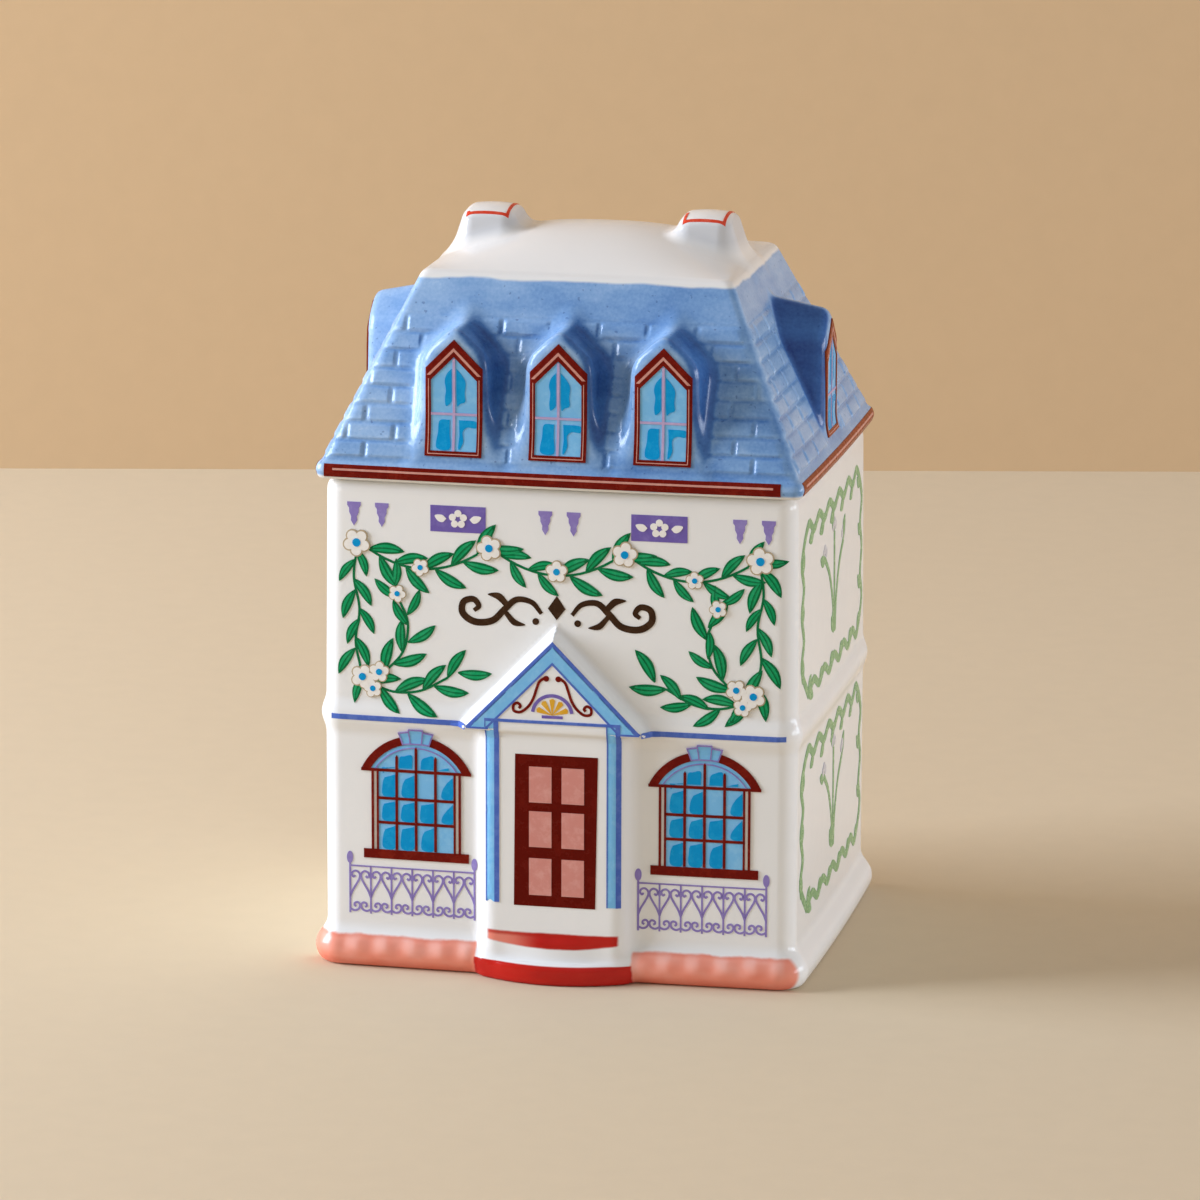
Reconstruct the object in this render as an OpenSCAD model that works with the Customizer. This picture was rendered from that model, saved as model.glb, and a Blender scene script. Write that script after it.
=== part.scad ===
// House-shaped spice jar in glazed porcelain.
// The jar is a two-storey house with a plinth, a string course, a gabled porch and two round steps.
// The lid is its mansard roof, with dormers, a low hipped top and two chimney stacks.
// A round plug under the lid carries a soft ring that seals the jar's round mouth.
// Millimetres, +Z up, front door towards -Y. The origin is on the table, under the middle of the whole jar.

/* [Walls] */
// Width of the house at the string course
wall_w = 58.8; // [54:0.2:66]
// Depth of the house at the string course
wall_d = 49.8; // [47:0.2:58]
// Height of the jar, up to the flat deck that the lid rests on
jar_h = 61; // [54:0.5:72]
// How far each wall of the upper storey draws in by the time it reaches the deck
wall_draw = 0.25; // [0:0.05:0.6]
// Radius of the upright corners
corner_r = 3.6; // [3:0.1:5]
// Rounding along the edge of the deck
deck_edge_r = 1.2; // [0.6:0.1:1.8]
// Thickness of the walls
wall_t = 3; // [2.4:0.1:3.4]
// Thickness of the floor
floor_t = 3; // [2.4:0.1:5]
// Thickness of the deck round the mouth
deck_t = 3.6; // [2.8:0.1:5]
// Rounding inside the jar, up the corners and round the floor
inside_r = 5; // [3:0.5:8]

/* [String course] */
// Height of the middle of the string course above the table
course_z = 31.6; // [27:0.2:35]
// How tall the string course is
course_h = 2.6; // [1.8:0.1:3.2]
// How far the string course stands out of the walls
course_out = 0.5; // [0.3:0.05:0.8]

/* [Plinth] */
// How far the plinth's round stands out of the walls
plinth_out = 1.5; // [1:0.1:2.4]
// Radius of the plinth's round
plinth_r = 2.2; // [2:0.1:2.6]
// Height of the plinth where it is widest
plinth_z = 2; // [1.6:0.1:2]
// Width of the unglazed rim that the jar stands on
foot_w = 3; // [2:0.2:5]
// Depth of the hollow under the floor, inside that rim
foot_recess = 1; // [0.5:0.1:1.5]

/* [Porch] */
// Width of the porch across its front
porch_w = 17; // [14:0.2:19]
// How far the porch stands out of the wall
porch_out = 2.4; // [1.6:0.1:3.2]
// How far each flank of the porch splays out on its way back to the wall
porch_splay = 1.4; // [0.6:0.1:2]
// Width of the gable across its eaves, on the wall
gable_w = 24.4; // [22.4:0.2:27]
// Rise of the gable above its eaves
gable_rise = 12.6; // [10:0.2:14]
// How far the gable stands out of the wall
gable_out = 2.8; // [2:0.1:3.6]
// How far each end of the gable draws in on its way out from the wall
gable_draw = 1.1; // [0.4:0.1:1.8]

/* [Steps] */
// Height of each step
step_rise = 2.6; // [2:0.1:3]
// Tread of the lower step
step_tread = 1.8; // [1.2:0.1:2.4]
// Width of the lower step
step_w = 19.4; // [17:0.2:22]
// Radius of the lower step's round front
step_r = 18; // [14:0.5:26]
// How far the lower step reaches out of the wall
step_out = 4.7; // [3.8:0.1:6]

/* [Mouth, plug and seal] */
// Diameter of the round mouth
mouth_d = 40; // [34:0.5:41]
// Chamfer round the mouth's upper edge
mouth_chamfer = 0.6; // [0.3:0.1:1]
// Gap all round between the lid's plug and the mouth
plug_gap = 1.5; // [1:0.1:2.2]
// How far the plug reaches down into the mouth
plug_h = 7; // [6:0.5:10]
// Wall of the plug
plug_t = 3.2; // [2.6:0.1:4]
// Depth of the groove that the seal sits in
groove_depth = 1; // [0.6:0.1:1.2]
// Height of the seal's band, which fills the groove
seal_h = 3.2; // [2.4:0.1:3.6]
// Gap between the seal's lips and the mouth
seal_gap = 0.15; // [0.1:0.05:0.3]
// Thickness of each of the seal's two lips
lip_t = 0.8; // [0.6:0.1:1]

/* [Roof] */
// How far the eaves overhang the top of the walls
eave_out = 0.9; // [0.5:0.1:2]
// Height of the upright edge of the eaves
eave_h = 2.1; // [1.6:0.1:3]
// Radius of the eaves' corners
eave_corner_r = 1.2; // [1.2:0.1:1.6]
// Rounding along the lower edge of the eaves
eave_edge_r = 0.6; // [0.3:0.1:0.7]
// How far the slate slopes start in from the eaves
slope_setback = 0.5; // [0.5:0.1:1]
// How far each slate slope leans in from foot to top
slope_run = 10.5; // [8:0.1:12]
// Height of the slate slopes
slope_rise = 22.4; // [19:0.1:26]
// Rise of the low white hips above the slate slopes
hip_rise = 4.2; // [2.5:0.1:5]
// Length of the ridge between the hips
ridge_l = 22; // [10:0.5:26]
// Thickness of the roof's shell
roof_t = 3.2; // [2.6:0.1:3.8]

/* [Dormers] */
// Distance from one front dormer to the next
dormer_pitch = 12.9; // [11.6:0.1:13.6]
// Number of dormers on the front slope
front_dormers = 3; // [1:2:3]
// Width of a dormer at its shoulders
dormer_w = 8.4; // [7:0.1:9.4]
// How far each cheek of a dormer spreads on its way down to the foot
dormer_splay = 1.2; // [0:0.1:1.5]
// Height of a dormer's cheeks above its sill
dormer_cheek = 11; // [9:0.1:12]
// Rise of a dormer's gable above its cheeks
dormer_gable = 5.4; // [3.5:0.1:6]
// How far a dormer's face stands back from the edge of the eaves
dormer_setback = 1.1; // [0.6:0.1:1.6]

/* [Slates] */
// Width of a slate, with its joint
slate_w = 6; // [4:0.1:8]
// Height of a course of slates, with its joint
slate_h = 2.3; // [2:0.05:3]
// Number of courses
slate_courses = 8; // [5:1:9]
// Width of the joints between slates
slate_joint = 0.5; // [0.3:0.05:0.8]
// How far the slates stand out of the slope
slate_relief = 0.25; // [0.15:0.05:0.5]
// Plain margin round the slates, at the hips, the eaves and the dormers
slate_margin = 0.8; // [0.5:0.1:1.5]

/* [Chimneys] */
// Width of a chimney stack at its top
chimney_w = 5.7; // [4.5:0.1:6]
// Depth of a chimney stack at its top
chimney_d = 7.2; // [6:0.1:9]
// Distance of each chimney stack from the middle of the roof
chimney_x = 13.6; // [11:0.1:13.8]
// Height of the chimney stacks above the top of the slate slopes
chimney_h = 5.9; // [5.4:0.1:8]
// How far each side of a stack leans out on its way down
chimney_draw = 1.6; // [0.6:0.1:1.8]
// How much further a stack spreads at its foot, in the hips
chimney_foot = 0.8; // [0.4:0.1:0.9]
// Rounding of the chimney stacks' corners
chimney_r = 1.4; // [1.2:0.1:2]
// Rounding along the top edge of the stacks
chimney_edge_r = 0.6; // [0.3:0.1:0.7]

/* [Hidden] */
$fn = 64;
// A cut runs this far past the face that it opens
past = 0.1;
// A profile stops this far short of the axis of the corner that it turns round
hub = 0.4;

deck_w = wall_w - 2 * wall_draw;
deck_d = wall_d - 2 * wall_draw;
plinth_mid = plinth_out - plinth_r;
course_r = (course_h * course_h / 4 + course_out * course_out) / (2 * course_out);
eave_w = deck_w + 2 * eave_out;
eave_d = deck_d + 2 * eave_out;

// The steps reach further out than the back of the plinth, so the house stands back by half the difference
step_reach = wall_d / 2 + step_out;
back_reach = max(wall_d / 2 + plinth_out, eave_d / 2);
house_y = (step_reach - back_reach) / 2;

floor_z = foot_recess + floor_t;
inside_w = wall_w - 2 * wall_t;
inside_d = wall_d - 2 * wall_t;

plug_r = mouth_d / 2 - plug_gap;
groove_r = plug_r - groove_depth;
seal_mid = jar_h - deck_t / 2;
slope_z = jar_h + eave_h;
slope_w = eave_w - 2 * slope_setback;
slope_d = eave_d - 2 * slope_setback;
top_z = slope_z + slope_rise;
top_w = slope_w - 2 * slope_run;
top_d = slope_d - 2 * slope_run;
sill_z = slope_z + (dormer_setback - slope_setback) * slope_rise / slope_run;
slope_angle = atan2(slope_rise, slope_run);
slope_l = norm([slope_run, slope_rise]);
dormer_top = (sill_z - slope_z + dormer_cheek + dormer_gable) * slope_l / slope_rise;
dormer_foot_w = dormer_w + 2 * dormer_splay;
front_places = [for (place = [0:front_dormers - 1]) (place - (front_dormers - 1) / 2) * dormer_pitch];

// Sweeps an upright profile round a rectangle with round corners.
// The profile's x is measured outwards from the rectangle's sides, and it reaches in to the corner's hub.
module moulded(w, d, r) {
  for (side = [0:3])
    rotate(90 * side) {
      reach = side % 2 == 0 ? w / 2 : d / 2;
      half_run = (side % 2 == 0 ? d : w) / 2 - r;
      translate([reach, 0])
        rotate([90, 0, 0])
          linear_extrude(2 * half_run, center = true)
            children();
      translate([reach - r, half_run])
        rotate_extrude(angle = 90)
          translate([r, 0])
            children();
    }
}

// The block inside a moulded ring
module core(w, d, r, low, high) {
  inset = r - hub;
  translate([inset - w / 2, inset - d / 2, low])
    cube([w - 2 * inset, d - 2 * inset, high - low]);
}

// A shape between two levels, whose front view and side view are trapezia
module hipped(w, d, top_w, top_d, low, high) {
  intersection() {
    rotate([90, 0, 0])
      linear_extrude(d, center = true)
        polygon([[-w / 2, low], [w / 2, low], [top_w / 2, high], [-top_w / 2, high]]);
    rotate([90, 0, 90])
      linear_extrude(w, center = true)
        polygon([[-d / 2, low], [d / 2, low], [top_d / 2, high], [-top_d / 2, high]]);
  }
}

// Half section of the walls, from the plinth's round up to the edge of the deck
module wall_profile() {
  polygon([
    [hub - corner_r, 0], [plinth_mid, 0], [plinth_mid, plinth_z], [0, plinth_z], [0, course_z],
    [-wall_draw, jar_h - deck_edge_r], [-wall_draw - deck_edge_r, jar_h - deck_edge_r],
    [-wall_draw - deck_edge_r, jar_h], [hub - corner_r, jar_h]
  ]);
  bead(plinth_out, plinth_z, plinth_r);
  bead(course_out, course_z, course_r);
  translate([-wall_draw - deck_edge_r, jar_h - deck_edge_r])
    circle(deck_edge_r);
}

// A round that stands out of the walls, cut off at the table
module bead(out, z, r) {
  intersection() {
    translate([out - r, z])
      circle(r);
    translate([-corner_r / 2, max(z - r - past, 0)])
      square([corner_r / 2 + out + past, 2 * (r + past)]);
  }
}

// Half section of the room inside the jar, rounded where it meets the floor
module inside_profile() {
  translate([hub - inside_r, floor_z + inside_r])
    square([inside_r - hub, jar_h - deck_t - floor_z - inside_r]);
  intersection() {
    translate([-inside_r, floor_z + inside_r])
      circle(inside_r);
    translate([hub - inside_r, floor_z])
      square([inside_r - hub, inside_r]);
  }
}

module porch() {
  foot = porch_w / 2 + porch_splay;
  linear_extrude(course_z + course_h / 2)
    polygon([
      [-foot, -wall_d / 2 + wall_t], [-foot, -wall_d / 2], [-porch_w / 2, -wall_d / 2 - porch_out],
      [porch_w / 2, -wall_d / 2 - porch_out], [foot, -wall_d / 2], [foot, -wall_d / 2 + wall_t]
    ]);
}

// Corners of the gable's triangle, at a share of its full size and at a distance out of the wall
function gable_corners(share, out) = [
  for (corner = [[-gable_w / 2, 0], [gable_w / 2, 0], [0, gable_rise]])
    [share * corner.x, -wall_d / 2 - out, course_z + share * corner.y]
];

// The gable stands on the wall, a little smaller at its front than at its foot, and is rooted in the wall
module gable() {
  front_share = 1 - 2 * gable_draw / gable_w;
  root_share = 1 + (1 - front_share) * wall_t / gable_out;
  polyhedron(
    concat(gable_corners(root_share, -wall_t), gable_corners(front_share, gable_out)),
    [[0, 1, 2], [5, 4, 3], [0, 3, 4, 1], [1, 4, 5, 2], [2, 5, 3, 0]]
  );
}

module steps() {
  for (step = [0:1]) {
    half_w = step_w / 2 - step * step_tread;
    intersection() {
      translate([0, step_r - step_reach, 0])
        cylinder(r = step_r - step * step_tread, h = (step + 1) * step_rise);
      translate([-half_w, -step_reach, 0])
        cube([2 * half_w, step_out + wall_t, (step + 1) * step_rise]);
    }
  }
}

module jar_body() {
  color("#e8e4dd")
    translate([0, house_y, 0])
      difference() {
        union() {
          moulded(wall_w, wall_d, corner_r)
            wall_profile();
          core(wall_w, wall_d, corner_r, 0, jar_h);
          porch();
          gable();
          steps();
        }
        moulded(inside_w, inside_d, inside_r)
          inside_profile();
        core(inside_w, inside_d, inside_r, floor_z, jar_h - deck_t);
        translate([0, 0, jar_h - deck_t - past])
          cylinder(d = mouth_d, h = deck_t + 2 * past);
        translate([0, 0, jar_h - mouth_chamfer])
          cylinder(d1 = mouth_d, d2 = mouth_d + 2 * (mouth_chamfer + past), h = mouth_chamfer + past);
        translate([0, 0, -past])
          core(wall_w, wall_d, foot_w - plinth_mid + hub, 0, foot_recess + past);
      }
}

// A band that fills the plug's groove, with a thin lip along its top and its bottom
module seal_ring() {
  lip_reach = mouth_d / 2 - seal_gap - groove_r;
  color("#d9d6cf")
    translate([0, house_y, seal_mid - seal_h / 2])
      rotate_extrude() {
        translate([groove_r, 0])
          square([groove_depth, seal_h]);
        for (lip_z = [0, seal_h - lip_t])
          translate([groove_r, lip_z])
            square([lip_reach, lip_t]);
      }
}

// Half section of the eaves' upright edge, rounded below
module eave_profile() {
  difference() {
    translate([hub - eave_corner_r, 0])
      square([eave_corner_r - hub, eave_h]);
    difference() {
      translate([-eave_edge_r, -past])
        square([eave_edge_r + past, eave_edge_r + past]);
      translate([-eave_edge_r, eave_edge_r])
        circle(eave_edge_r);
    }
  }
}

// A gabled dormer that looks out along -Y, with its face at the given distance from the middle
module dormer(face) {
  half = dormer_w / 2;
  foot = dormer_foot_w / 2;
  depth = dormer_setback + slope_run;
  translate([0, depth - face, sill_z])
    rotate([90, 0, 0])
      linear_extrude(depth)
        polygon([
          [-foot, -eave_h / 2], [foot, -eave_h / 2], [half, dormer_cheek],
          [0, dormer_cheek + dormer_gable], [-half, dormer_cheek]
        ]);
}

module dormers() {
  for (place = front_places)
    translate([place, 0, 0])
      dormer(eave_d / 2 - dormer_setback);
  for (turn = [90, -90])
    rotate(turn)
      dormer(eave_w / 2 - dormer_setback);
}

// Staggered slates on one slope, drawn flat with the eaves along x, clear of the width that its dormers take up
module slate_field(foot_w, head_w, clear_w) {
  count = ceil(foot_w / slate_w);
  intersection() {
    for (course = [0:slate_courses - 1])
      for (slate = [-1:count])
        translate([
          (slate - count / 2 + (course % 2) / 2) * slate_w + slate_joint / 2,
          slate_margin + course * slate_h
        ])
          square([slate_w - slate_joint, slate_h - slate_joint]);
    difference() {
      polygon([
        [-foot_w / 2 + slate_margin, 0], [foot_w / 2 - slate_margin, 0],
        [head_w / 2 - slate_margin, slope_l], [-head_w / 2 + slate_margin, slope_l]
      ]);
      if (clear_w > 0)
        translate([-clear_w / 2 - slate_margin, -past])
          square([clear_w + 2 * slate_margin, dormer_top + slate_margin]);
    }
  }
}

// Lays a slate field on the slope that looks out along -Y, half sunk into it
module slates(reach, foot_w, head_w, clear_w) {
  translate([0, -reach, slope_z])
    rotate([slope_angle, 0, 0])
      translate([0, 0, -slate_relief])
        linear_extrude(2 * slate_relief)
          slate_field(foot_w, head_w, clear_w);
}

module all_slates() {
  slates(slope_d / 2, slope_w, top_w, (front_dormers - 1) * dormer_pitch + dormer_foot_w);
  rotate(180)
    slates(slope_d / 2, slope_w, top_w, 0);
  for (turn = [90, -90])
    rotate(turn)
      slates(slope_w / 2, slope_d, top_d, dormer_foot_w);
}

// How far the side of a chimney stack stands out from its top edge, at a height above the slate slopes
function chimney_lean(z) = chimney_draw * (chimney_h - z) / chimney_h;

// Half section of a chimney stack, spreading at its foot and rounded at its top
module chimney_profile() {
  foot_z = hip_rise / 2;
  edge_z = chimney_h - chimney_edge_r;
  edge_x = chimney_lean(edge_z) - chimney_edge_r;
  polygon([
    [hub - chimney_r, 0], [chimney_draw + chimney_foot, 0], [chimney_lean(foot_z), foot_z],
    [chimney_lean(edge_z), edge_z], [edge_x, edge_z], [edge_x, chimney_h], [hub - chimney_r, chimney_h]
  ]);
  translate([edge_x, edge_z])
    circle(chimney_edge_r);
}

module chimneys() {
  for (side = [-1, 1])
    translate([side * chimney_x, 0, top_z]) {
      moulded(chimney_w, chimney_d, chimney_r)
        chimney_profile();
      core(chimney_w, chimney_d, chimney_r, 0, chimney_h);
    }
}

module lid() {
  color("#7f9fd0")
    translate([0, house_y, 0])
      difference() {
        union() {
          translate([0, 0, jar_h])
            moulded(eave_w, eave_d, eave_corner_r)
              eave_profile();
          core(eave_w, eave_d, eave_corner_r, jar_h, slope_z);
          hipped(slope_w, slope_d, top_w, top_d, slope_z, top_z);
          hipped(top_w, top_d, ridge_l, 0, top_z, top_z + hip_rise);
          dormers();
          all_slates();
          chimneys();
          translate([0, 0, jar_h - plug_h])
            cylinder(r = plug_r, h = plug_h);
        }
        hipped(
          slope_w - 2 * roof_t, slope_d - 2 * roof_t, top_w - 2 * roof_t, top_d - 2 * roof_t,
          jar_h + roof_t, top_z - roof_t
        );
        translate([0, 0, jar_h - plug_h - past])
          cylinder(r = plug_r - plug_t, h = plug_h + roof_t + 2 * past);
        translate([0, 0, seal_mid - seal_h / 2])
          difference() {
            cylinder(r = plug_r + past, h = seal_h);
            cylinder(r = groove_r, h = seal_h);
          }
      }
}

jar_body();
seal_ring();
lid();
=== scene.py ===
"""Looks of a house-shaped porcelain spice jar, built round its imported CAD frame."""
import math
from itertools import product

import bmesh
import bpy
import numpy as np
from mathutils import Matrix, Vector
from mathutils.geometry import tessellate_polygon


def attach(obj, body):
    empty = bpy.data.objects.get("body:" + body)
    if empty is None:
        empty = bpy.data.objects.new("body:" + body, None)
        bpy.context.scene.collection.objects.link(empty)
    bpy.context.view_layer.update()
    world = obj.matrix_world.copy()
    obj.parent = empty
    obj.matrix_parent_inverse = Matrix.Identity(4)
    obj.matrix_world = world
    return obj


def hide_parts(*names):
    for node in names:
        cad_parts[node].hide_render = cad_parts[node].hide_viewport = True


bl_info = {
    "name": "Porcelain House Spice Jar",
    "version": (1, 0, 0),
    "blender": (4, 5, 0),
    "location": "View3D > Sidebar > Spice Jar",
    "description": "Builds a glazed, hand-coloured house-shaped jar with a mansard roof for a lid",
    "category": "Object",
}

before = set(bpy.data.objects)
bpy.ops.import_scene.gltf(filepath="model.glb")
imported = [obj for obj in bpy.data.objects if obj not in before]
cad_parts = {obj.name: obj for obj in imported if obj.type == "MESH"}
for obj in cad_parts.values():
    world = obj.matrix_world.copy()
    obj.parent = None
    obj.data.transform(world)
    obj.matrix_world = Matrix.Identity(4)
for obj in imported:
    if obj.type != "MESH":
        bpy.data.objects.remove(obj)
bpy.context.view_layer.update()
MM = 0.001

# Sizes of the jar, as in the CAD source, in millimetres, but with corners as tight as the glazed ones look
HOUSE_Y = 1.6
WALL_W, WALL_D, JAR_H = 58.8, 49.8, 61.0
WALL_DRAW, CORNER_R, DECK_EDGE = 0.25, 2.2, 1.6
INSIDE_W, INSIDE_D, INSIDE_R = 52.8, 43.8, 5.0
FLOOR_Z, DECK_T, MOUTH_R = 4.0, 3.6, 20.0
COURSE_Z, COURSE_OUT, COURSE_ROUND = 31.6, 0.5, 1.94
PLINTH_Z, PLINTH_R, PLINTH_MID = 2.0, 2.2, -0.7
FOOT_INSET, FOOT_RECESS = 3.7, 1.0
PORCH_HALF, PORCH_OUT, PORCH_SPLAY = 8.5, 2.4, 1.4
GABLE_HALF, GABLE_RISE, GABLE_OUT, GABLE_DRAW = 12.2, 12.6, 2.8, 1.1
STEP_RISE, STEP_TREAD, STEP_HALF, STEP_R, STEP_REACH = 2.6, 1.8, 9.7, 18.0, 29.6
FRONT = -WALL_D / 2

# Bellies of the jar's walls, and the soft stones cast into its plinth
SIDE_WALL_BOW, FRONT_WALL_BOW = 0.35, 0.45
STONE_W, STONE_RELIEF = 3.55, 0.1

# Sizes of the lid
EAVE_W, EAVE_D, EAVE_H, EAVE_R = 60.1, 51.1, 2.1, 1.2
SLOPE_W, SLOPE_D, SLOPE_Z, SLOPE_RUN, SLOPE_RISE = 59.1, 50.1, 63.1, 10.5, 22.4
TOP_Z = SLOPE_Z + SLOPE_RISE
TOP_W, TOP_D, CROWN_RISE = 38.1, 29.1, 4.1
ROOF_T, PLUG_R, PLUG_H, PLUG_T = 3.2, 18.5, 7.0, 3.2
GROOVE_R, SEAL_MID, SEAL_H = 17.5, 59.2, 3.2
DORMER_PITCH, DORMER_SETBACK, SILL_Z = 12.9, 1.1, 64.4
DORMER_W, DORMER_CHEEK, DORMER_GABLE, DORMER_HOOD, DORMER_RIDGE_R = 8.0, 11.0, 5.7, 5.45, 1.2
DORMER_SPLAY, FRONT_DRAFT, SIDE_DRAFT, FRONT_FILLET, SIDE_FILLET = 0.06, 0.2, 0.16, 2.1, 0.7
SIDE_RISE = 0.2
CHIMNEY_W, CHIMNEY_D, CHIMNEY_R, CHIMNEY_X, CHIMNEY_Z, CHIMNEY_DRAW = 5.9, 7.2, 1.3, 13.6, 91.6, 0.32
SLOPE_L = math.hypot(SLOPE_RUN, SLOPE_RISE)
LEAN_OUT, LEAN_UP = SLOPE_RISE / SLOPE_L, SLOPE_RUN / SLOPE_L

# Bellies of the lid's eaves and slopes, and the soft slates cast into the slopes
SIDE_EAVE_BOW, FRONT_EAVE_BOW = 0.3, 0.4
SIDE_SLOPE_BOW, FRONT_SLOPE_BOW = 0.3, 0.35
SLATE_W, SLATE_H, SLATE_COURSES, SLATE_RELIEF, SLATE_FOOT = 6.0, 2.3, 8, 0.2, 0.7


def linear(code):
    """The linear colour of an sRGB hex code, with full opacity."""
    shares = [int(code[place:place + 2], 16) / 255 for place in (1, 3, 5)]
    return tuple(s / 12.92 if s <= 0.04045 else ((s + 0.055) / 1.055) ** 2.4 for s in shares) + (1.0,)


def add_node(tree, kind, links=None, stops=None, **settings):
    """Adds a node, sets its properties, then sets or links each input by name or number."""
    made = tree.nodes.new(kind)
    for name, value in settings.items():
        setattr(made, name, value)
    for key, value in (links or {}).items():
        if isinstance(value, bpy.types.NodeSocket):
            tree.links.new(value, made.inputs[key])
        else:
            made.inputs[key].default_value = value
    if stops:
        band = made.color_ramp.elements
        while len(band) < len(stops):
            band.new(1.0)
        for element, (place, code) in zip(band, stops):
            element.position = place
            element.color = linear(code)
    return made


def maths(tree, operation, *values):
    """The result of an operation on some values or sockets."""
    return add_node(tree, "ShaderNodeMath", dict(enumerate(values)), operation=operation).outputs[0]


def times(tree, first, *others):
    """The product of some values or sockets."""
    for other in others:
        first = maths(tree, "MULTIPLY", first, other)
    return first


def ramp(tree, value, low, high, start=0.0, end=1.0, kind="SMOOTHSTEP"):
    """Goes from start, where a socket's value is low, to end, where it is high."""
    return add_node(tree, "ShaderNodeMapRange", {0: value, 1: low, 2: high, 3: start, 4: end},
                    interpolation_type=kind).outputs[0]


def blend(tree, share, first, second):
    """Goes from one colour to another. Each is a socket or an sRGB hex code."""
    first, second = (linear(part) if isinstance(part, str) else part for part in (first, second))
    return add_node(tree, "ShaderNodeMix", {0: share, 6: first, 7: second}, data_type="RGBA").outputs[2]


def colours(tree, value, *stops):
    """Colours along a value, from places on it paired with sRGB hex codes."""
    return add_node(tree, "ShaderNodeValToRGB", {0: value}, stops).outputs[0]


def noise(tree, place, scale, detail, roughness=0.5):
    """Cloudy noise over a place, with a larger scale for smaller clouds."""
    return add_node(tree, "ShaderNodeTexNoise", {
        "Vector": place, "Scale": scale, "Detail": detail, "Roughness": roughness}).outputs[0]


def split(tree, vector):
    """The three parts of a vector."""
    return add_node(tree, "ShaderNodeSeparateXYZ", {0: vector}).outputs


# Shapes as distances


def smooth_max(a, b, soft):
    """The larger of two distances, rounded over where they are within soft of each other."""
    near = np.maximum(soft - np.abs(a - b), 0) / soft
    return np.maximum(a, b) + near * near * soft * 0.25


def smooth_min(a, b, soft):
    """The smaller of two distances, filled in where they are within soft of each other."""
    return -smooth_max(-a, -b, soft)


def smooth_step(value, low, high):
    """Rises smoothly from 0 at low to 1 at high."""
    share = np.clip((value - low) / (high - low), 0, 1)
    return share * share * (3 - 2 * share)


def rounded_box(x, y, half_w, half_d, r):
    """Distance in plan from a rectangle with round corners."""
    over_x = np.abs(x) - half_w + r
    over_y = np.abs(y) - half_d + r
    beyond = np.hypot(np.maximum(over_x, 0), np.maximum(over_y, 0))
    return beyond + np.minimum(np.maximum(over_x, over_y), 0) - r


def bowed(along, half, amount):
    """How far a cast wall bellies out between its corners."""
    return amount * (1 - np.clip(along / half, -1, 1) ** 2)


def jar_distance(x, y, z):
    """Signed distance in millimetres from the jar's skin, negative in the china."""
    y = y - HOUSE_Y
    draw = WALL_DRAW * np.clip((z - COURSE_Z) / (JAR_H - COURSE_Z), 0, 1)
    half_w = WALL_W / 2 - draw + bowed(y, WALL_D / 2, SIDE_WALL_BOW)
    half_d = WALL_D / 2 - draw + bowed(x, WALL_W / 2, FRONT_WALL_BOW)
    wall = rounded_box(x, y, half_w, half_d, CORNER_R)
    skin = smooth_max(wall, z - JAR_H, DECK_EDGE)
    course = np.hypot(wall - COURSE_OUT + COURSE_ROUND, z - COURSE_Z) - COURSE_ROUND
    skin = smooth_min(skin, course, 1.0)
    # Shallow rounded stones along the upper half of the plinth, on the front alone
    stones = smooth_step(np.abs(x), 10.2, 11.4) * (1 - smooth_step(np.abs(x), 26.5, 29.0))
    stones = stones * smooth_step(z, 1.2, 2.6) * (1 - smooth_step(z, 3.2, 4.2))
    stones = stones * smooth_step(FRONT + 1.0 - y, 0.0, 1.0)
    stones = STONE_RELIEF * stones * np.cos(2 * math.pi * x / STONE_W)
    plinth = np.hypot(wall - PLINTH_MID, z - PLINTH_Z) - PLINTH_R - stones
    skin = smooth_min(skin, plinth, 1.6)
    flank = ((np.abs(x) - PORCH_HALF) * PORCH_OUT - (y - FRONT + PORCH_OUT) * PORCH_SPLAY)
    flank = flank / math.hypot(PORCH_OUT, PORCH_SPLAY)
    porch = smooth_max(smooth_max(FRONT - PORCH_OUT - y, flank, 1.2), z - COURSE_Z - 1.3, 0.8)
    skin = smooth_min(skin, smooth_max(porch, y, 0.5), 1.0)
    share = 1 - GABLE_DRAW / GABLE_HALF * (FRONT - y) / GABLE_OUT
    rake = np.abs(x) * GABLE_RISE + (z - COURSE_Z - GABLE_RISE * share) * GABLE_HALF
    rake = smooth_max(rake / math.hypot(GABLE_RISE, GABLE_HALF), COURSE_Z - 0.4 - z, 0.5)
    gable = smooth_max(smooth_max(rake, FRONT - GABLE_OUT - y, 0.5), y, 0.5)
    skin = smooth_min(skin, gable, 0.6)
    for step in (0, 1):
        centre = np.hypot(x, y - STEP_R + STEP_REACH)
        inset = step * STEP_TREAD
        tread = smooth_max(centre - STEP_R + inset, np.abs(x) - STEP_HALF + inset, 1.0)
        tread = smooth_max(smooth_max(tread, z - (step + 1) * STEP_RISE, 1.0), y, 0.5)
        skin = smooth_min(skin, tread, 0.8)
    skin = smooth_max(skin, -z, 0.6)
    room = rounded_box(x, y, INSIDE_W / 2, INSIDE_D / 2, INSIDE_R)
    room = smooth_max(room, FLOOR_Z - z, INSIDE_R)
    room = smooth_max(room, z - JAR_H + DECK_T, 1.2)
    mouth = smooth_max(np.hypot(x, y) - MOUTH_R, JAR_H - DECK_T - 1 - z, 0.5)
    skin = smooth_max(smooth_max(skin, -room, 0.8), -mouth, 1.2)
    under = rounded_box(x, y, WALL_W / 2 - FOOT_INSET, WALL_D / 2 - FOOT_INSET, 2.0)
    return smooth_max(skin, -smooth_max(under, z - FOOT_RECESS, 0.8), 0.8)


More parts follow.
